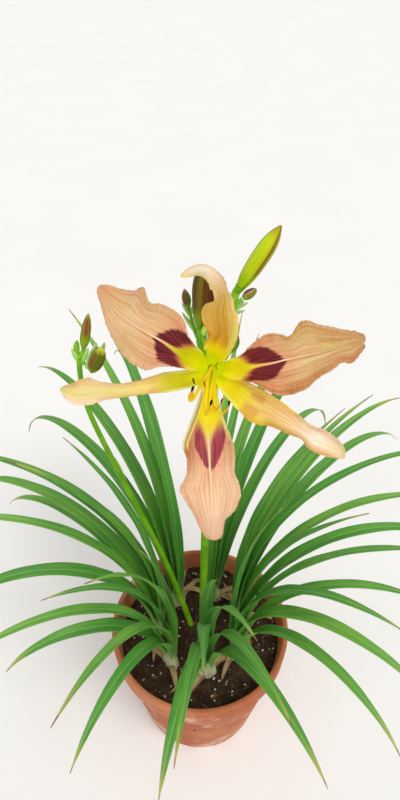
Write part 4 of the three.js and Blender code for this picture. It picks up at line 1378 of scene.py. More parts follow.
# How each tepal is coloured. skin: the colour along its midrib past the throat, by share of the way
# from foot to tip. sides: the same along its left and right edge. throat: the throat's yellow, and over
# how many millimetres it fades. eye: the dark patch's colour, the colour of its inner boundary and its
# strength. start and end: the reach, in millimetres, at which the patch begins and ends on the midrib,
# and how much sooner it does at the edge. The end has a left and a right half, each with how round it
# is. blur: over how many millimetres the patch comes up. gap: the half width of the pale stripe through
# the patch, by reach. rib: how clear the pale midrib is, and on which side its shadow lies. bands and
# veins: how clear the lengthwise pleats and the fine veins are.
LOOKS = {
    "petal_lower": {
        "skin": [
            (0.24, "d8a07c"),
            (0.46, "eec49e"),
            (0.72, "f2d0ac"),
            (0.88, "ebc8a6"),
            (1.0, "e4ae92"),
        ],
        "sides": (
            [
                (0.0, "e8de84"),
                (0.17, "e6d684"),
                (0.23, "cca276"),
                (0.34, "deb48a"),
                (0.45, "e8c49e"),
                (1.0, "e2ae94"),
            ],
            # The orange-brown from 0.2 to 0.46 is partly the edge's own colour, partly painted shade of its
            # fold.
            [
                (0.0, "e6da80"),
                (0.2, "c8985c"),
                (0.25, "b46a42"),
                (0.37, "b87048"),
                (0.46, "d69e78"),
                (0.54, "e8b890"),
                (1.0, "dea68a"),
            ],
        ),
        "throat": ("f0dc10", 9),
        "eye": ("a83046", "c07c50", 0.95),
        "start": (41, 1),
        "end": ((71.5, 38, 1.6), (69, 88, 2.6)),
        "blur": 9,
        "gap": [(36, 8), (42, 5), (46.5, 3), (52, 1.6), (58, 0.95), (64, 0.65), (70, 0.5), (100, 0.4)],
        "rib": (0.85, -1),
        "bands": 0.3,
        "veins": 0.45,
    },
    "petal_right": {
        "skin": [(0.25, "e4b286"), (0.45, "debe8a"), (0.7, "d0b272"), (0.9, "caa468"), (1.0, "d49c80")],
        "sides": (
            [(0.0, "eedc60"), (0.2, "dca47c"), (0.35, "d6a470"), (0.55, "c4a05c"), (1.0, "c8946c")],
            [(0.0, "e8d420"), (0.16, "e0b03c"), (0.24, "d29660"), (0.6, "c48e58"), (1.0, "cc9468")],
        ),
        "throat": ("efdd04", 5),
        "eye": ("741a20", "c8582a", 1.0),
        "start": (25.5, 5),
        "end": ((46.5, 23, 1.7), (49, 27, 1.2)),
        "blur": 3.5,
        "gap": [(21, 3.2), (26, 1.8), (29, 1.2), (34, 0.75), (42, 0.55), (80, 0.4)],
        "rib": (0.32, -1),
        "bands": 0.4,
        "veins": 0.65,
    },
    "petal_left": {
        "skin": [
            (0.25, "e4b28a"),
            (0.42, "e4c292"),
            (0.65, "e6c694"),
            (0.88, "e4b27c"),
            (1.0, "e6ac84"),
        ],
        "sides": (
            [(0.0, "e8e070"), (0.25, "dcaa84"), (0.6, "d8b486"), (1.0, "e8b080")],
            [(0.0, "e8e48c"), (0.28, "e6ac8a"), (0.4, "dcb282"), (0.65, "dcb084"), (1.0, "ecb888")],
        ),
        "throat": ("ccc804", 5),
        "eye": ("701a20", "c8582a", 1.0),
        "start": (26.5, 7),
        "end": ((44, 16.5, 1.0), (43.5, 17, 1.2)),
        "blur": 3.5,
        "gap": [(19, 3.2), (26, 2.0), (30, 1.3), (36, 0.75), (42, 0.55), (60, 0.45)],
        "rib": (0.55, 1),
        "bands": 0.3,
        "veins": 0.5,
    },
    "sepal_top": {
        "skin": [
            (0.08, "edc808"),
            (0.14, "d9a01e"),
            (0.21, "c6921c"),
            (0.29, "c69c32"),
            (0.42, "d4b264"),
            (0.52, "ecca98"),
            (0.62, "fde8c4"),
            (0.75, "fff6e0"),
            (0.88, "fff8e8"),
            (1.0, "f6de6c"),
        ],
        "sides": (
            [
                (0.0, "e8cc10"),
                (0.15, "dca028"),
                (0.3, "d4ac50"),
                (0.44, "f4da7c"),
                (0.6, "fff096"),
                (1.0, "fbe87c"),
            ],
            [
                (0.0, "f0e668"),
                (0.14, "f2ea78"),
                (0.25, "e6d678"),
                (0.36, "e4cc7e"),
                (0.44, "d8c084"),
                (0.52, "d4b282"),
                (0.62, "ecbc94"),
                (0.74, "fadcb0"),
                (1.0, "f6dc80"),
            ],
        ),
        "throat": ("f0ca04", 6),
        "eye": ("c8700c", "d08a10", 0.55),
        "start": (14, -1),
        "end": ((22.5, 40, 4), (22.5, 40, 4)),
        "blur": 4,
        "gap": [(0, 2.4), (30, 2.0)],
        "rib": (0.0, 1),
        "bands": 0.09,
        "veins": 0.55,
    },
    "sepal_left": {
        "skin": [
            (0.1, "e6d414"),
            (0.32, "f6e07c"),
            (0.5, "f4de90"),
            (0.75, "f4e298"),
            (0.9, "ecdc88"),
            (1.0, "dcdc88"),
        ],
        "sides": (
            [(0.0, "e6c83c"), (0.5, "eacb78"), (0.75, "fbe4c8"), (1.0, "fde8d2")],
            [
                (0.0, "f4ec80"),
                (0.22, "f2e270"),
                (0.35, "eebe78"),
                (0.6, "f0c896"),
                (0.85, "dcae70"),
                (1.0, "e2d890"),
            ],
        ),
        "throat": ("ccc408", 22),
        "eye": ("e0a060", "e0a060", 0.3),
        "start": (38, 0),
        "end": ((46, 0, 1.0), (46, 0, 1.0)),
        "blur": 5,
        "gap": [(0, 1.5), (30, 1.5)],
        "rib": (0.0, 1),
        "bands": 0.12,
        "veins": 0.3,
    },
    "sepal_right": {
        "skin": [
            (0.1, "ecdc1c"),
            (0.25, "efd45c"),
            (0.4, "eec67a"),
            (0.6, "f4d8a8"),
            (0.73, "fff6e2"),
            (0.9, "f6e6ba"),
            (1.0, "efd8a0"),
        ],
        "sides": (
            [(0.0, "ecd828"), (0.25, "e6b840"), (0.5, "e8c080"), (0.8, "e0c0a4"), (1.0, "e6cc8c")],
            [
                (0.0, "ecdc20"),
                (0.33, "f0e040"),
                (0.43, "d8a234"),
                (0.62, "d4a044"),
                (0.8, "dcac58"),
                (1.0, "f0d8ac"),
            ],
        ),
        "throat": ("f0dd10", 20),
        "eye": ("d48038", "d48038", 0.5),
        "start": (31, 0),
        "end": ((43, 0, 1.0), (43, 0, 1.0)),
        "blur": 4,
        "gap": [(0, 2.4), (30, 2.4)],
        "rib": (0.0, 1),
        "bands": 0.16,
        "veins": 0.42,
    },
}

# A rolled edge: its side (1 for left), the shares of the half width between which its shadow lies, the
# reach at which it begins and ends, and the colours of the crest inside the shadow, of the shadow and
# of the rim outside.
# The crest colour is a painted highlight, and the shadow colour painted shade, on the lower petal mixed
# with its underside's own colour seen in the roll.
ROLLS = {
    "petal_lower": (-1, 0.66, 0.85, 16, 57, ("f6e870", "b8a066", "ece2b4")),
    "sepal_right": (1, 0.6, 0.66, 20, 66, ("f2ce5c", "cc9020", "f0c860")),
}
NO_ROLL = (1, 0.6, 0.7, 0, 0, ("f2ce5c", "cc9020", "f0c860"))
THROAT_ROW = [3.8, 0, -29, 2.4, 2.4, 40, 40]
# Millimetres by which the edge is crinkled and notched, and the depth of the groove at the midrib.
PETAL_RELIEF = (1.3, 0.75, 0.5)
SEPAL_RELIEF = (0.5, 0.3, 0.12)
PLEATS = 30.0
PLEAT_DEPTH = 0.3


def tepal_relief(name, u):
    """The relief of a tepal at share u of its length. The sepals' edges are more crinkled and notched
    towards their tips, and those of the upper one at its bend."""
    form = TEPALS[name]
    crimp, notch, groove = SEPAL_RELIEF if name.startswith("sepal") else PETAL_RELIEF
    if name == "sepal_top":
        bend = max(0, 1 - abs(u - 0.6) * 5)
        crimp += bend
        notch += 1.4 * bend
    elif name.startswith("sepal"):
        crimp += 1.6 * u * u
        notch += 0.9 * u * u
    fade = clamped(4 * u) * min(1, 4 * (1 - u))
    return {
        "ruffle": form["ruffle"] * fade,
        "crimp": crimp * fade,
        "notch": notch * clamped(6 * u) * min(1, 10 * (1 - u)),
        "groove": groove * fade,
        "pleat": PLEAT_DEPTH * LOOKS[name]["bands"] * fade,
        "folds": PLEATS,
        "phase": 2 * math.pi * form["waves"] * u,
    }


def tepal_marks(name, u, reach):
    """What the skin of a tepal has to know at share u of its length: its colours and where its marks
    lie."""
    look = LOOKS[name]
    yellow, fading = look["throat"]
    eye, ember, strength = look["eye"]
    start, start_slant = look["start"]
    rib, shadow_side = look["rib"]
    roll_side, roll_low, roll_high, roll_start, roll_end, roll_shades = ROLLS.get(name, NO_ROLL)
    crest, under, rim = (Vector(colour(shade)) for shade in roll_shades)
    narrowing = 0.008 * max(0, min(26, reach - 29))
    lowest = name == "petal_lower"
    marks = {
        "reach": reach,
        "skin": shade_at(look["skin"], u),
        "left_side": shade_at(look["sides"][0], u),
        "right_side": shade_at(look["sides"][1], u),
        "throat_shade": Vector(colour(yellow)),
        "throat_fade": fading,
        "eye": Vector(colour(eye)),
        "ember": Vector(colour(ember)),
        "strength": strength,
        "blur": look["blur"],
        "eye_start": start,
        "eye_start_slant": start_slant,
        "gap": level_at(look["gap"], reach),
        "rib": rib,
        "shadow_side": shadow_side,
        "bands": look["bands"],
        "veins": look["veins"],
        "roll": clamped((reach - roll_start) / 8) * clamped((roll_end - reach) / 4),
        "roll_side": roll_side,
        "roll_low": roll_low + narrowing,
        "roll_high": roll_high + narrowing * 0.5,
        "crest": crest,
        "under": under,
        "rim": rim,
        "tuck": clamped(min((reach - 76) / 14, (114 - reach) / 8)) if lowest else 0.0,
        "shaded": clamped((34 - reach) / 14) if lowest else 0.0,
    }
    for hand, (end, slant, bend) in zip(("left", "right"), look["end"]):
        marks |= {f"eye_end_{hand}": end, f"eye_slant_{hand}": slant, f"eye_bend_{hand}": bend}
    return marks


def tepal_strand(name):
    """The stations of a tepal's midrib. It starts down in the tube, where u is below 0."""
    form = TEPALS[name]
    rows = [THROAT_ROW, *form["rows"]]
    below = 1 / (len(rows) - 2)
    ahead, left = facing(math.radians(form["heading"]))
    out = Vector((0, 0, 1))
    spin = FLOWER.to_3x3()

    def row_at(u):
        return along(rows, clamped((u + below) / (1 + below)))

    def midrib(u):
        reach, sway, lift = row_at(u)[:3]
        return ahead * reach + left * sway + out * lift

    stations = []
    way = 0.0
    stride = (1 + below) / TEPAL_ROWS
    for i in range(TEPAL_ROWS + 1):
        u = i * stride - below
        reach, _, _, left_half, right_half, left_curl, right_curl = row_at(u)
        if i:
            way += (midrib(u) - midrib(u - stride)).length
        tangent = (midrib(u + 0.01) - midrib(u - 0.01)).normalized()
        across = out.cross(tangent).normalized()
        station = blade_station(
            FLOWER @ (midrib(u) * MM) / MM,
            spin @ across,
            spin @ tangent.cross(across),
            (left_half, right_half),
            (left_curl, right_curl),
            u,
            form["heading"] / 360,
            way,
            **tepal_relief(name, u),
        )
        stations.append(station | tepal_marks(name, u, reach))
    return stations


def tepal_skin(tree):
    """Veined and pleated, with a dark patch past a yellow throat, a pale midrib and rolled edges."""
    v, reach, side = tree.attribute("v"), tree.attribute("reach"), tree.attribute("side")
    u, tone, way = tree.attribute("u"), tree.attribute("tone"), tree.attribute("way")
    bands, strength, blur = tree.attribute("bands"), tree.attribute("strength"), tree.attribute("blur")
    share = abs(v)
    seat = tone * 40.0
    left = tree.arithmetic("GREATER_THAN", v, 0.0)
    streak = tree.cloud(tree.join(v * 15.0, way * 0.022, seat + 7.0), 1.0, 3.0, 0.6)
    fine = tree.cloud(tree.join(v * 38.0, way * 0.05, seat + 19.0), 1.0, 2.0)
    broad = tree.cloud(tree.join(v * 2.4, way * 0.045, seat + 31.0), 1.0, 2.0)
    band = tree.cloud(tree.join(v * 7.5, way * 0.012, seat + 43.0), 1.0, 1.0)
    pucker = tree.cloud(tree.join(v * 2.5, way * 0.5, seat + 57.0), 1.0, 2.0)
    mottle = tree.cloud(tree.place(), 260.0, 3.0, 0.6)

    def darken_by(first, amount, red, green, blue):
        """A colour darkened by the given shares where amount is 1."""
        return tree.mix(amount, first, (red, green, blue), "MULTIPLY")

    # The ground colour, its broad bands, and the veins, puckers and freckles in it. The pleat bands carry
    # painted shade and highlight, and the puckers painted shade, besides their own colour.
    shade = tree.attribute("skin", True)
    shade = tree.mix(tree.rise(v, 0.15, 0.95, 0.0, 0.9), shade, tree.attribute("left_side", True))
    shade = tree.mix(tree.rise(v, -0.15, -0.95, 0.0, 0.9), shade, tree.attribute("right_side", True))
    veined = tree.attribute("veins")
    shade = darken_by(shade, tree.rise(broad, 0.5, 0.66) * veined, 1.0, 0.8, 0.8)
    shade = darken_by(shade, tree.rise(broad, 0.5, 0.36) * veined, 0.92, 0.95, 0.72)
    # Pleat bands: partly the tepal's own tan lines, partly painted shade and painted highlight of pleats.
    shade = darken_by(shade, tree.rise(band, 0.5, 0.66) * bands * tree.rise(share, 1.0, 0.85), 0.8, 0.62, 0.4)
    shade = tree.mix(tree.rise(band, 0.5, 0.36, 0.0, 0.5) * bands, shade, colour("f6cfae"))
    shade = darken_by(shade, tree.rise(streak, 0.5, 0.6) * veined, 0.82, 0.6, 0.48)
    shade = darken_by(shade, tree.rise(fine, 0.52, 0.64) * veined, 0.84, 0.66, 0.54)
    shade = tree.mix(tree.rise(mottle, 0.5, 0.75, 0.0, 0.07), shade, colour("f9e2c0"))
    # Darker where the edge puckers: partly its own orange-brown, partly painted shade of the puckers.
    puckered = tree.rise(pucker, 0.48, 0.66) * tree.rise(share, 0.62, 0.9)
    shade = darken_by(shade, puckered * veined, 0.84, 0.66, 0.52)
    freckle = tree.rise(tree.cloud(tree.place(), 620.0, 1.0), 0.7, 0.76) * tree.rise(share, 0.55, 0.95)
    shade = tree.mix(freckle * bands, shade, colour("a8583a"))

    # How far a point lies past the start of the dark patch and before its end.
    ragged = (streak - 0.5) * 2.0
    start = reach - tree.attribute("eye_start") + share * tree.attribute("eye_start_slant")
    slant = share ** tree.handed("eye_bend", left) * tree.handed("eye_slant", left)
    end = tree.handed("eye_end", left) - slant - reach
    vivid = tree.rise(strength, 0.6, 0.9)
    flush = tree.rise(end, -16.0, 0.0) * tree.rise(end, 4.0, -1.0) * vivid
    shade = darken_by(shade, flush * tree.rise(share, 1.0, 0.75) * 0.7, 1.0, 0.78, 0.76)
    beyond = side - tree.attribute("gap")

    # The throat, and the pale stripe that leads out of it.
    yellow = tree.mix(tree.rise(reach, 6.0, 17.0), colour("b8c400"), tree.attribute("throat_shade", True))
    yellow = darken_by(yellow, tree.rise(streak, 0.48, 0.64, 0.0, 0.6), 0.92, 0.84, 0.8)
    paler = tree.rise(share, 0.6, 0.94, 0.0, 0.85) * tree.rise(reach, 10.0, 20.0)
    yellow = tree.mix(paler, yellow, colour("efe97c"))
    throat = tree.rise((start + ragged * 2.0) / tree.attribute("throat_fade"), 0.5, -0.5)
    shade = tree.mix(throat, shade, yellow)
    stripe = tree.rise(beyond, 0.7, -0.4) * tree.rise(start, -6.0, 2.0)
    stripe = stripe * tree.rise(end, -8.0, 2.0) * vivid
    cream = tree.mix(tree.rise(start, 0.0, 14.0), tree.attribute("throat_shade", True), colour("efd49a"))
    shade = tree.mix(stripe * 0.9, shade, cream)

    # The dark patch, and its fiery inner boundary.
    into = tree.rise((start + ragged * 3.0 + (fine - 0.5) * 5.0) / blur, -0.3, 0.8)
    out_of = tree.rise(end + ragged * 2.5 + (fine - 0.5) * 5.0, -1.0, 1.6)
    soft = blur * 0.012 * tree.arithmetic("MAXIMUM", end, 0.0) + 0.45
    past_gap = tree.rise((beyond + (fine - 0.5) * 1.2) / soft, -0.4, 1.0)
    inside = tree.rise(share, 1.0, 0.93, 0.4, 1.0)
    near = tree.rise((start + ragged * 3.0) / blur, -1.0, 0.2) * tree.rise(end, 0.0, 4.0)
    near = near * tree.rise(beyond / soft, -1.0, 0.3) * vivid
    shade = tree.mix(near * 0.7, shade, tree.attribute("ember", True))
    dark = tree.attribute("eye", True)
    dark = darken_by(dark, tree.rise(streak, 0.48, 0.62) * vivid, 0.56, 0.32, 0.66)
    dark = tree.mix(tree.rise(fine, 0.52, 0.36, 0.0, 0.28) * vivid, dark, tree.attribute("ember", True))
    dark = darken_by(dark, tree.rise(end, 20.0, 2.0, 0.0, 0.6) * vivid, 0.7, 0.55, 0.95)
    shade = tree.mix(into * out_of * past_gap * inside * strength, shade, dark)

    # The midrib and the shadow beside it.
    rib = tree.attribute("rib") * tree.rise(u, 0.9, 0.35, 0.15, 1.0)
    line = tree.rise(side, 0.8, 0.2) * tree.rise(start, 4.0, 16.0) * rib
    shade = tree.mix(line, shade, colour("f8e2c4"))
    shadowed = tree.rise(v * tree.attribute("shadow_side"), 0.0, 0.02)
    beside = tree.rise(side, 0.5, 1.0) * tree.rise(side, 2.4, 1.3) * tree.rise(end, 1.0, -4.0) * rib
    shade = darken_by(shade, beside * shadowed * 1.2, 0.74, 0.52, 0.36)

    # The rolled edges, with a painted highlight on the fold's crest and painted shade between it and
    # the pale rim; painted shade along the tuck near the lower petal's tip, painted shade in the creases
    # of the throat and the painted shadow of the filaments on the lower petal's foot.
    rolled = v * tree.attribute("roll_side")
    low, high, roll = tree.attribute("roll_low"), tree.attribute("roll_high"), tree.attribute("roll")
    crest = tree.rise(rolled, low - 0.11, low - 0.04) * tree.rise(rolled, low + 0.02, low - 0.02)
    shade = tree.mix(crest * roll * 0.8, shade, tree.attribute("crest", True))
    roll_shadow_mask = tree.rise(rolled, low - 0.03, low + 0.04)
    shade = tree.mix(roll_shadow_mask * roll * 0.9, shade, tree.attribute("under", True))
    rim = tree.rise(rolled, high - 0.04, high + 0.05)
    shade = tree.mix(rim * roll, shade, tree.attribute("rim", True))
    # Painted shade along the tuck near the lower petal's tip.
    tuck = tree.rise(v, 0.44, 0.54) * tree.rise(v, 0.6, 0.54) * tree.attribute("tuck")
    shade = darken_by(shade, tuck * 0.6, 0.84, 0.64, 0.6)
    # Painted shade in the creases between the tepals near the throat.
    crease = tree.rise(share, 0.55, 1.0) * tree.rise(reach, 14.0, 6.0)
    shade = darken_by(shade, crease * 0.2, 0.7, 0.82, 0.5)
    # Painted shadow that the filaments cast on the lower petal's foot.
    shadow = tree.rise(side, 6.0, 1.5) * tree.attribute("shaded")
    shade = darken_by(shade, shadow * 0.9, 0.6, 0.62, 0.3)

    # The relief, and a painted glow in the throat: an emission that stands in for the light that it
    # lets through, dimmed in the painted crease shade and under the painted shadow of the filaments.
    puckers = pucker * tree.rise(share, 0.6, 0.95)
    height = band * 0.3 + streak * 0.7 + fine * 0.6 + mottle * 0.15 + puckers * 0.8
    height = height - tree.rise(side, 1.4, 0.2) * tree.attribute("rib") * 0.5
    painted_glow = tree.mix(tree.rise(reach, 23.0, 6.0), (0.0, 0.0, 0.0), colour("969200"))
    painted_glow = tree.mix(tree.rise(reach, 9.5, 5.0), painted_glow, colour("a4ae00"))
    painted_glow = darken_by(painted_glow, crease * 0.2, 0.5, 0.6, 0.4)
    painted_glow = darken_by(painted_glow, shadow, 0.3, 0.3, 0.2)
    return shade, 0.52 + fine * 0.16, height, painted_glow


TUBE_INSIDE = [(8.8, 1.6), (7, -3), (5, -9), (3.4, -20), (3, -30)]
TUBE_SHELL = 1.1


def tube_skin(tree):
    """Lime in the throat and green at the foot."""
    place = tree.place()
    fine = tree.cloud(place, 300.0, 3.0, 0.6)
    depth = tree.arithmetic("DISTANCE", place, BLOOM_CENTRE * MM).at("Value")
    shade = tree.mix(tree.rise(depth, 0.024, 0.055), colour("c4cc0c"), colour("8fb43a"))
    shade = tree.mix(tree.rise(fine, 0.45, 0.7, 0.0, 0.4), shade, colour("a5bf2c"))
    # Painted glow deep in the throat: an emission that stands in for light let through the thin tube.
    painted_glow = tree.mix(tree.rise(depth, 0.04, 0.02), (0.0, 0.0, 0.0), colour("686e02"))
    return shade, 0.5 + fine * 0.15, fine, painted_glow


def flower_tube():
    outside = [(radius + TUBE_SHELL, height - 0.4) for radius, height in reversed(TUBE_INSIDE[1:])]
    outside.append((TUBE_INSIDE[0][0] + 0.5, TUBE_INSIDE[0][1]))
    profile = [(0, -TUBE_LENGTH), (3.7, -TUBE_LENGTH), *outside, *TUBE_INSIDE, (0, -31)]
    finish = material("tube_skin", tube_skin, 0.3, Specular_IOR_Level=0.25)
    mesh = turned(rounded(profile, 2.5, 3), 48, finish)
    mesh.transform(TUBE)
    return mesh


# Each stamen: the turn at which it stands on the collar, how plump its anther is and whether that is
# rusty brown, its filament past the mouth of the tube, with its radius, and the ends of its anther.
STAMENS = [
    {
        "turn": 190,
        "plump": 1.0,
        "rusty": False,
        "filament": [
            [-0.9, -0.3, 2, 1.1],
            [-3.9, -3.9, 13, 1.3],
            [-5.7, -8, 24, 1.3],
            [-8.5, -12.7, 34, 1.25],
            [-11.5, -19, 41, 1.25],
            [-13.3, -21.6, 45, 1.45],
            [-14.6, -22.5, 48.5, 1.5],
            [-15.1, -21.5, 51, 1.45],
            [-14.9, -20.1, 53.5, 1.2],
            [-14.4, -18.3, 56, 0.8],
        ],
        "anther": [[-14.2, -17.8, 56.3], [-12.6, -14.4, 59.6]],
    },
    {
        "turn": 135,
        "plump": 0.66,
        "rusty": True,
        "filament": [
            [-0.9, -0.1, 4, 1.0],
            [-2.5, -3.5, 20, 1.2],
            [-4.7, -6.9, 38, 1.25],
            [-6.4, -9.6, 51, 1.15],
            [-7.3, -10.8, 57.5, 0.8],
            [-7, -11.7, 60, 0.5],
        ],
        "anther": [[-6.7, -12, 60.2], [-5.9, -15.9, 60.8]],
    },
    {
        "turn": 240,
        "plump": 1.0,
        "rusty": False,
        "filament": [
            [-0.9, -0.3, 2, 1.1],
            [-2.7, -4.2, 14, 1.4],
            [-4.3, -10.3, 27, 1.5],
            [-5.2, -18.5, 38.5, 1.45],
            [-5.8, -25.4, 43.5, 1.35],
            [-5.8, -29.9, 46, 1.15],
            [-5, -31.4, 48.5, 1.0],
            [-3.8, -28.7, 51.5, 0.85],
            [-2.9, -26.5, 54, 0.7],
        ],
        "anther": [[-2.8, -26, 54.4], [-1.7, -22.5, 57.8]],
    },
    {
        "turn": 285,
        "plump": 0.84,
        "rusty": False,
        "filament": [
            [0.5, -0.3, 2, 1.1],
            [0.1, -4.2, 14, 1.3],
            [-0.7, -10.2, 25, 1.2],
            [-2.3, -17.3, 35, 1.2],
            [-2.7, -22.7, 40, 1.1],
            [-2.1, -27.3, 43, 0.95],
            [-0.9, -29.1, 45.5, 0.85],
            [0.6, -29.1, 47.2, 0.8],
            [2.1, -27.6, 48.8, 0.75],
            [3.3, -25.9, 51, 0.65],
        ],
        "anther": [[3.5, -25.4, 51.6], [5, -21.3, 55.6]],
    },
    {
        "turn": 330,
        "plump": 0.84,
        "rusty": False,
        "filament": [
            [1.1, -0.5, 1, 1.1],
            [1.2, -4.3, 11, 1.3],
            [0.5, -10.1, 21, 1.25],
            [-0.2, -17.2, 30.5, 1.15],
            [-0.1, -23.1, 36, 1.05],
            [0.7, -27.5, 39.5, 0.95],
            [2.3, -30, 42, 0.85],
            [4.5, -31, 44, 0.8],
            [6.7, -29.4, 46, 0.75],
            [8.4, -27, 48.3, 0.65],
        ],
        "anther": [[8.6, -26.5, 48.9], [8.8, -23, 52.4]],
    },
    {
        "turn": 60,
        "plump": 0.66,
        "rusty": False,
        "filament": [
            [-1.1, -0.3, 3, 1.0],
            [-3.5, -4.2, 14, 1.1],
            [-5.8, -8.2, 24, 1.0],
            [-8.5, -14.4, 33, 0.85],
            [-11.7, -19, 41, 0.7],
            [-13.3, -20.4, 46, 0.6],
            [-13.2, -17.9, 50, 0.5],
            [-12.3, -14.5, 54, 0.4],
        ],
        "anther": [[-12.4, -13.2, 55.2], [-13.4, -9.6, 58.2]],
    },
]
COLLAR = {"inside": 1.9, "outside": 3.1, "low": -19, "high": -15.5}
FILAMENT_SHARE = 0.93
ANTHER_GIRTHS = [0.25, 0.55, 0.68, 0.72, 0.66, 0.48, 0.12]
ANTHER_BOW = 0.5
OVARY = [[-29.5, 1.4], [-27.5, 2.3], [-24, 2.3], [-21, 1.2], [-19.5, 0.7]]
STYLE = [
    [0, 0, -43, 0.7],
    [0, 0, -26, 0.7],
    [0, 0, -10, 0.7],
    [0.2, -0.9, 4, 0.7],
    [-0.2, -10.2, 19, 0.65],
    [-0.9, -18.5, 29, 0.6],
    [-1.1, -24.3, 36, 0.5],
    [0.2, -27.6, 41, 0.42],
    [2.4, -27.2, 50, 0.36],
    [4.2, -24.2, 60, 0.34],
    [4.6, -21.8, 70, 0.34],
    [4.6, -21.2, 71.4, 0.6],
]


def tube_point(turn, distance, height):
    """A point at a turn, in degrees, and a distance from the tube's axis, at a height above the tube's
    mouth."""
    turn = math.radians(turn)
    return [distance * math.cos(turn), distance * math.sin(turn), height - THROAT_DEPTH]


def filament_strand(i, stamen):
    """A filament from the collar in the tube, through the tube's mouth, to its anther."""
    middle = (COLLAR["inside"] + COLLAR["outside"]) / 2
    foot = [*tube_point(stamen["turn"], middle, COLLAR["low"] + 1.2), 0.9]
    mouth = [*tube_point(stamen["turn"], 1.8, 4), 1.0]
    rows = [[x, y, z, radius * FILAMENT_SHARE] for x, y, z, radius in stamen["filament"]]
    return stem_strand([foot, mouth, *rows], 96, draw(i), to_world=FLOWER)


def anther_strand(i, stamen):
    """A slim pollen sac in two halves, bent a little like a boat."""
    start, end = (Vector(spot) for spot in stamen["anther"])
    bow = (end - start).cross(Vector((1, 0, 0))).normalized() * ANTHER_BOW
    last = len(ANTHER_GIRTHS) - 1
    rows = []
    for j, girth in enumerate(ANTHER_GIRTHS):
        t = j / last
        spot = start.lerp(end, t) + bow * math.sin(math.pi * t)
        rows.append([*spot, girth * stamen["plump"]])
    tone = 1.0 if stamen["rusty"] else 0.3 * draw(i + 20)
    return stem_strand(rows, 24, tone, to_world=FLOWER)


def filament_skin(tree):
    around, u, tone = tree.attribute("round", True), tree.attribute("u"), tree.attribute("tone")
    fine = tree.cloud(around * 2.0 + tree.join(tone * 30.0, 0.0, u * 6.0), 1.0, 3.0, 0.6)
    shade = tree.mix(tree.rise(u, 0.2, 0.5), colour("bec400"), colour("eed000"))
    shade = tree.mix(tree.rise(u, 0.7, 1.0, 0.0, 0.8), shade, colour("e0980c"))
    shade = tree.mix(tree.rise(fine, 0.5, 0.75, 0.0, 0.3), shade, colour("d8b808"))
    # Painted glow, strongest at the foot: an emission that stands in for light let through the filaments.
    painted_glow = tree.mix(tree.rise(u, 0.9, 0.3), colour("2c2600"), colour("464800"))
    return shade, 0.5 + fine * 0.1, fine * 0.3, painted_glow


def anther_skin(tree):
    place, tone = tree.place(), tree.attribute("tone")
    grain = tree.cloud(place, 1600.0, 2.0, 0.7)
    shade = tree.mix(tree.rise(grain, 0.4, 0.65), colour("120a05"), colour("3a2210"))
    shade = tree.mix(tree.rise(grain, 0.68, 0.8, 0.0, 0.7), shade, colour("b06a1c"))
    brown = tree.mix(tree.rise(tree.attribute("u"), 0.25, 0.6), colour("6a3a10"), colour("c07a12"))
    shade = tree.mix(tree.rise(tone, 0.5, 0.9, 0.0, 0.9), shade, brown)
    return shade, 0.8 + grain * 0.15, grain


def pistil_skin(tree):
    u, place = tree.attribute("u"), tree.place()
    fine = tree.cloud(place, 500.0, 3.0, 0.6)
    shade = tree.mix(tree.rise(u, 0.3, 0.6), colour("c8c800"), colour("dcb420"))
    shade = tree.mix(tree.rise(fine, 0.45, 0.7, 0.0, 0.3), shade, colour("e0c03c"))
    return shade, 0.45 + fine * 0.2, fine


def tepals():
    finish = material(
        "tepal_skin",
        tepal_skin,
        0.35,
        Specular_IOR_Level=0.22,
        Subsurface_Weight=0.08,
        Subsurface_Radius=(0.005, 0.003, 0.0015),
    )
    source = strands("tepals", [tepal_strand(name) for name in TEPALS])
    inputs = {"Columns": TEPAL_COLUMNS, "Material": finish}
    mesh = grown("tepals", source, BLADE, inputs, TEPAL_WALL)
    piece("flower_tepals", mesh, "tepals", "bloom_perianth")
    piece("flower_tube", flower_tube(), "tepals", "bloom_perianth")


THREADS = {"Sides": 14, "Lobes": 2.0, "Lobe depth": 0.0, "Seam": 0.0}
SACS = {"Sides": 16, "Lobes": 2.0, "Lobe depth": 0.16, "Seam": 0.2}


def stamens():
    gold = material("filament_skin", filament_skin, 0.15, Specular_IOR_Level=0.15)
    source = strands("filaments", [filament_strand(i, stamen) for i, stamen in enumerate(STAMENS)])
    mesh = grown("filaments", source, STEM, THREADS | {"Material": gold})
    piece("flower_filaments", mesh, "stamens", "bloom_stamens")

    inside, outside, low, high = COLLAR.values()
    ring = [(inside, low), (outside, low), (outside, high), (inside, high), (inside, low)]
    collar = turned(ring, 32, gold)
    collar.transform(TUBE)
    piece("flower_collar", collar, "stamens", "bloom_stamens")

    sooty = material("anther_skin", anther_skin, 0.25, Specular_IOR_Level=0.15)
    source = strands("anthers", [anther_strand(i, stamen) for i, stamen in enumerate(STAMENS)])
    mesh = grown("anthers", source, STEM, SACS | {"Material": sooty})
    piece("flower_anthers", mesh, "stamens", "bloom_stamens")


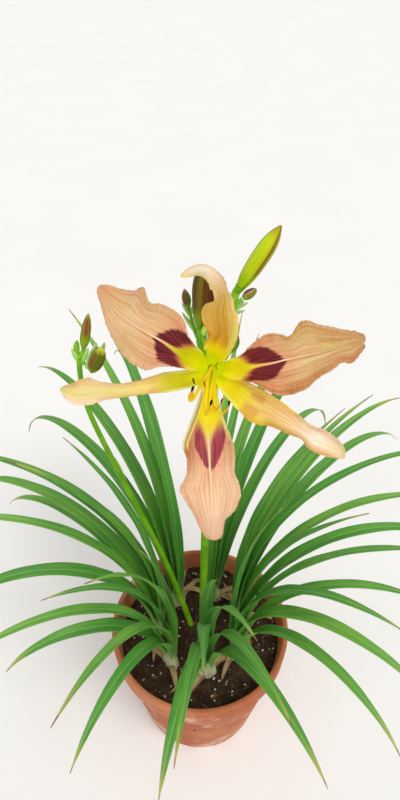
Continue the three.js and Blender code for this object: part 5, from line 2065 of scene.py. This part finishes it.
def pistil():
    """The ovary in the foot of the tube, and the style that comes out among the stamens."""
    ovary = [[*tube_point(0, 0, height), radius] for height, radius in OVARY]
    runs = [stem_strand(ovary, 20, to_world=FLOWER), stem_strand(STYLE, 72, to_world=FLOWER)]
    finish = material("pistil_skin", pistil_skin, 0.1, Specular_IOR_Level=0.3)
    mesh = grown("pistil", strands("pistil", runs), STEM, THREADS | {"Material": finish})
    piece("flower_pistil", mesh, "pistil", "bloom_pistil")


# ---------------------------------------------------------------- floor, light and camera

FLOOR_REACH = 30.0
SKY = {"Color": (1.0, 0.99, 0.97, 1.0), "Strength": 0.64}
# Each lamp: the way towards it, its strength, and how wide it looks in degrees.
LAMPS = {"key": ((0.45, -0.55, 1.0), 1.4, 28), "fill": ((-0.7, -0.8, 0.6), 0.3, 60)}
CAMERA_SPOT = (0.0, -0.451, 1.002)
LENS = 27
SENSOR = 36


def floor_skin(tree):
    grain = tree.cloud(tree.place(), 3.0, 3.0)
    shade = tree.mix(tree.rise(grain, 0.3, 0.7), colour("f4f3f1"), colour("f7f6f4"))
    return shade, 0.9 + grain * 0.05, grain


def studio():
    mesh = bpy.data.meshes.new("floor")
    corners = [(-1, -1), (1, -1), (1, 1), (-1, 1)]
    mesh.from_pydata([(x * FLOOR_REACH, y * FLOOR_REACH, 0) for x, y in corners], [], [(0, 1, 2, 3)])
    mesh.materials.append(material("floor_skin", floor_skin))
    floor = bpy.data.objects.new("floor", mesh)
    scene.collection.objects.link(floor)

    world = bpy.data.worlds.new("studio")
    world.use_nodes = True
    tree = Tree(world.node_tree)
    tree.node("ShaderNodeOutputWorld", None, {"Surface": tree.node("ShaderNodeBackground", None, SKY)})
    scene.world = world

    for name, (way, strength, angle) in LAMPS.items():
        data = bpy.data.lights.new(name, "SUN")
        data.energy = strength
        data.angle = math.radians(angle)
        lamp = bpy.data.objects.new(name, data)
        lamp.rotation_euler = Vector(way).to_track_quat("Z", "Y").to_euler()
        scene.collection.objects.link(lamp)
    scene.view_settings.view_transform = "Standard"


def camera():
    """Looks down on the flower along the way that it faces."""
    data = bpy.data.cameras.new("camera")
    data.lens = LENS
    data.sensor_width = SENSOR
    made = bpy.data.objects.new("camera", data)
    made.location = CAMERA_SPOT
    made.rotation_euler = (FACE_TILT, 0, 0)
    scene.collection.objects.link(made)
    scene.camera = made


camera()
studio()
clay_pot()
potting_mix()
leaves()
scapes_and_buds()
tepals()
stamens()
pistil()
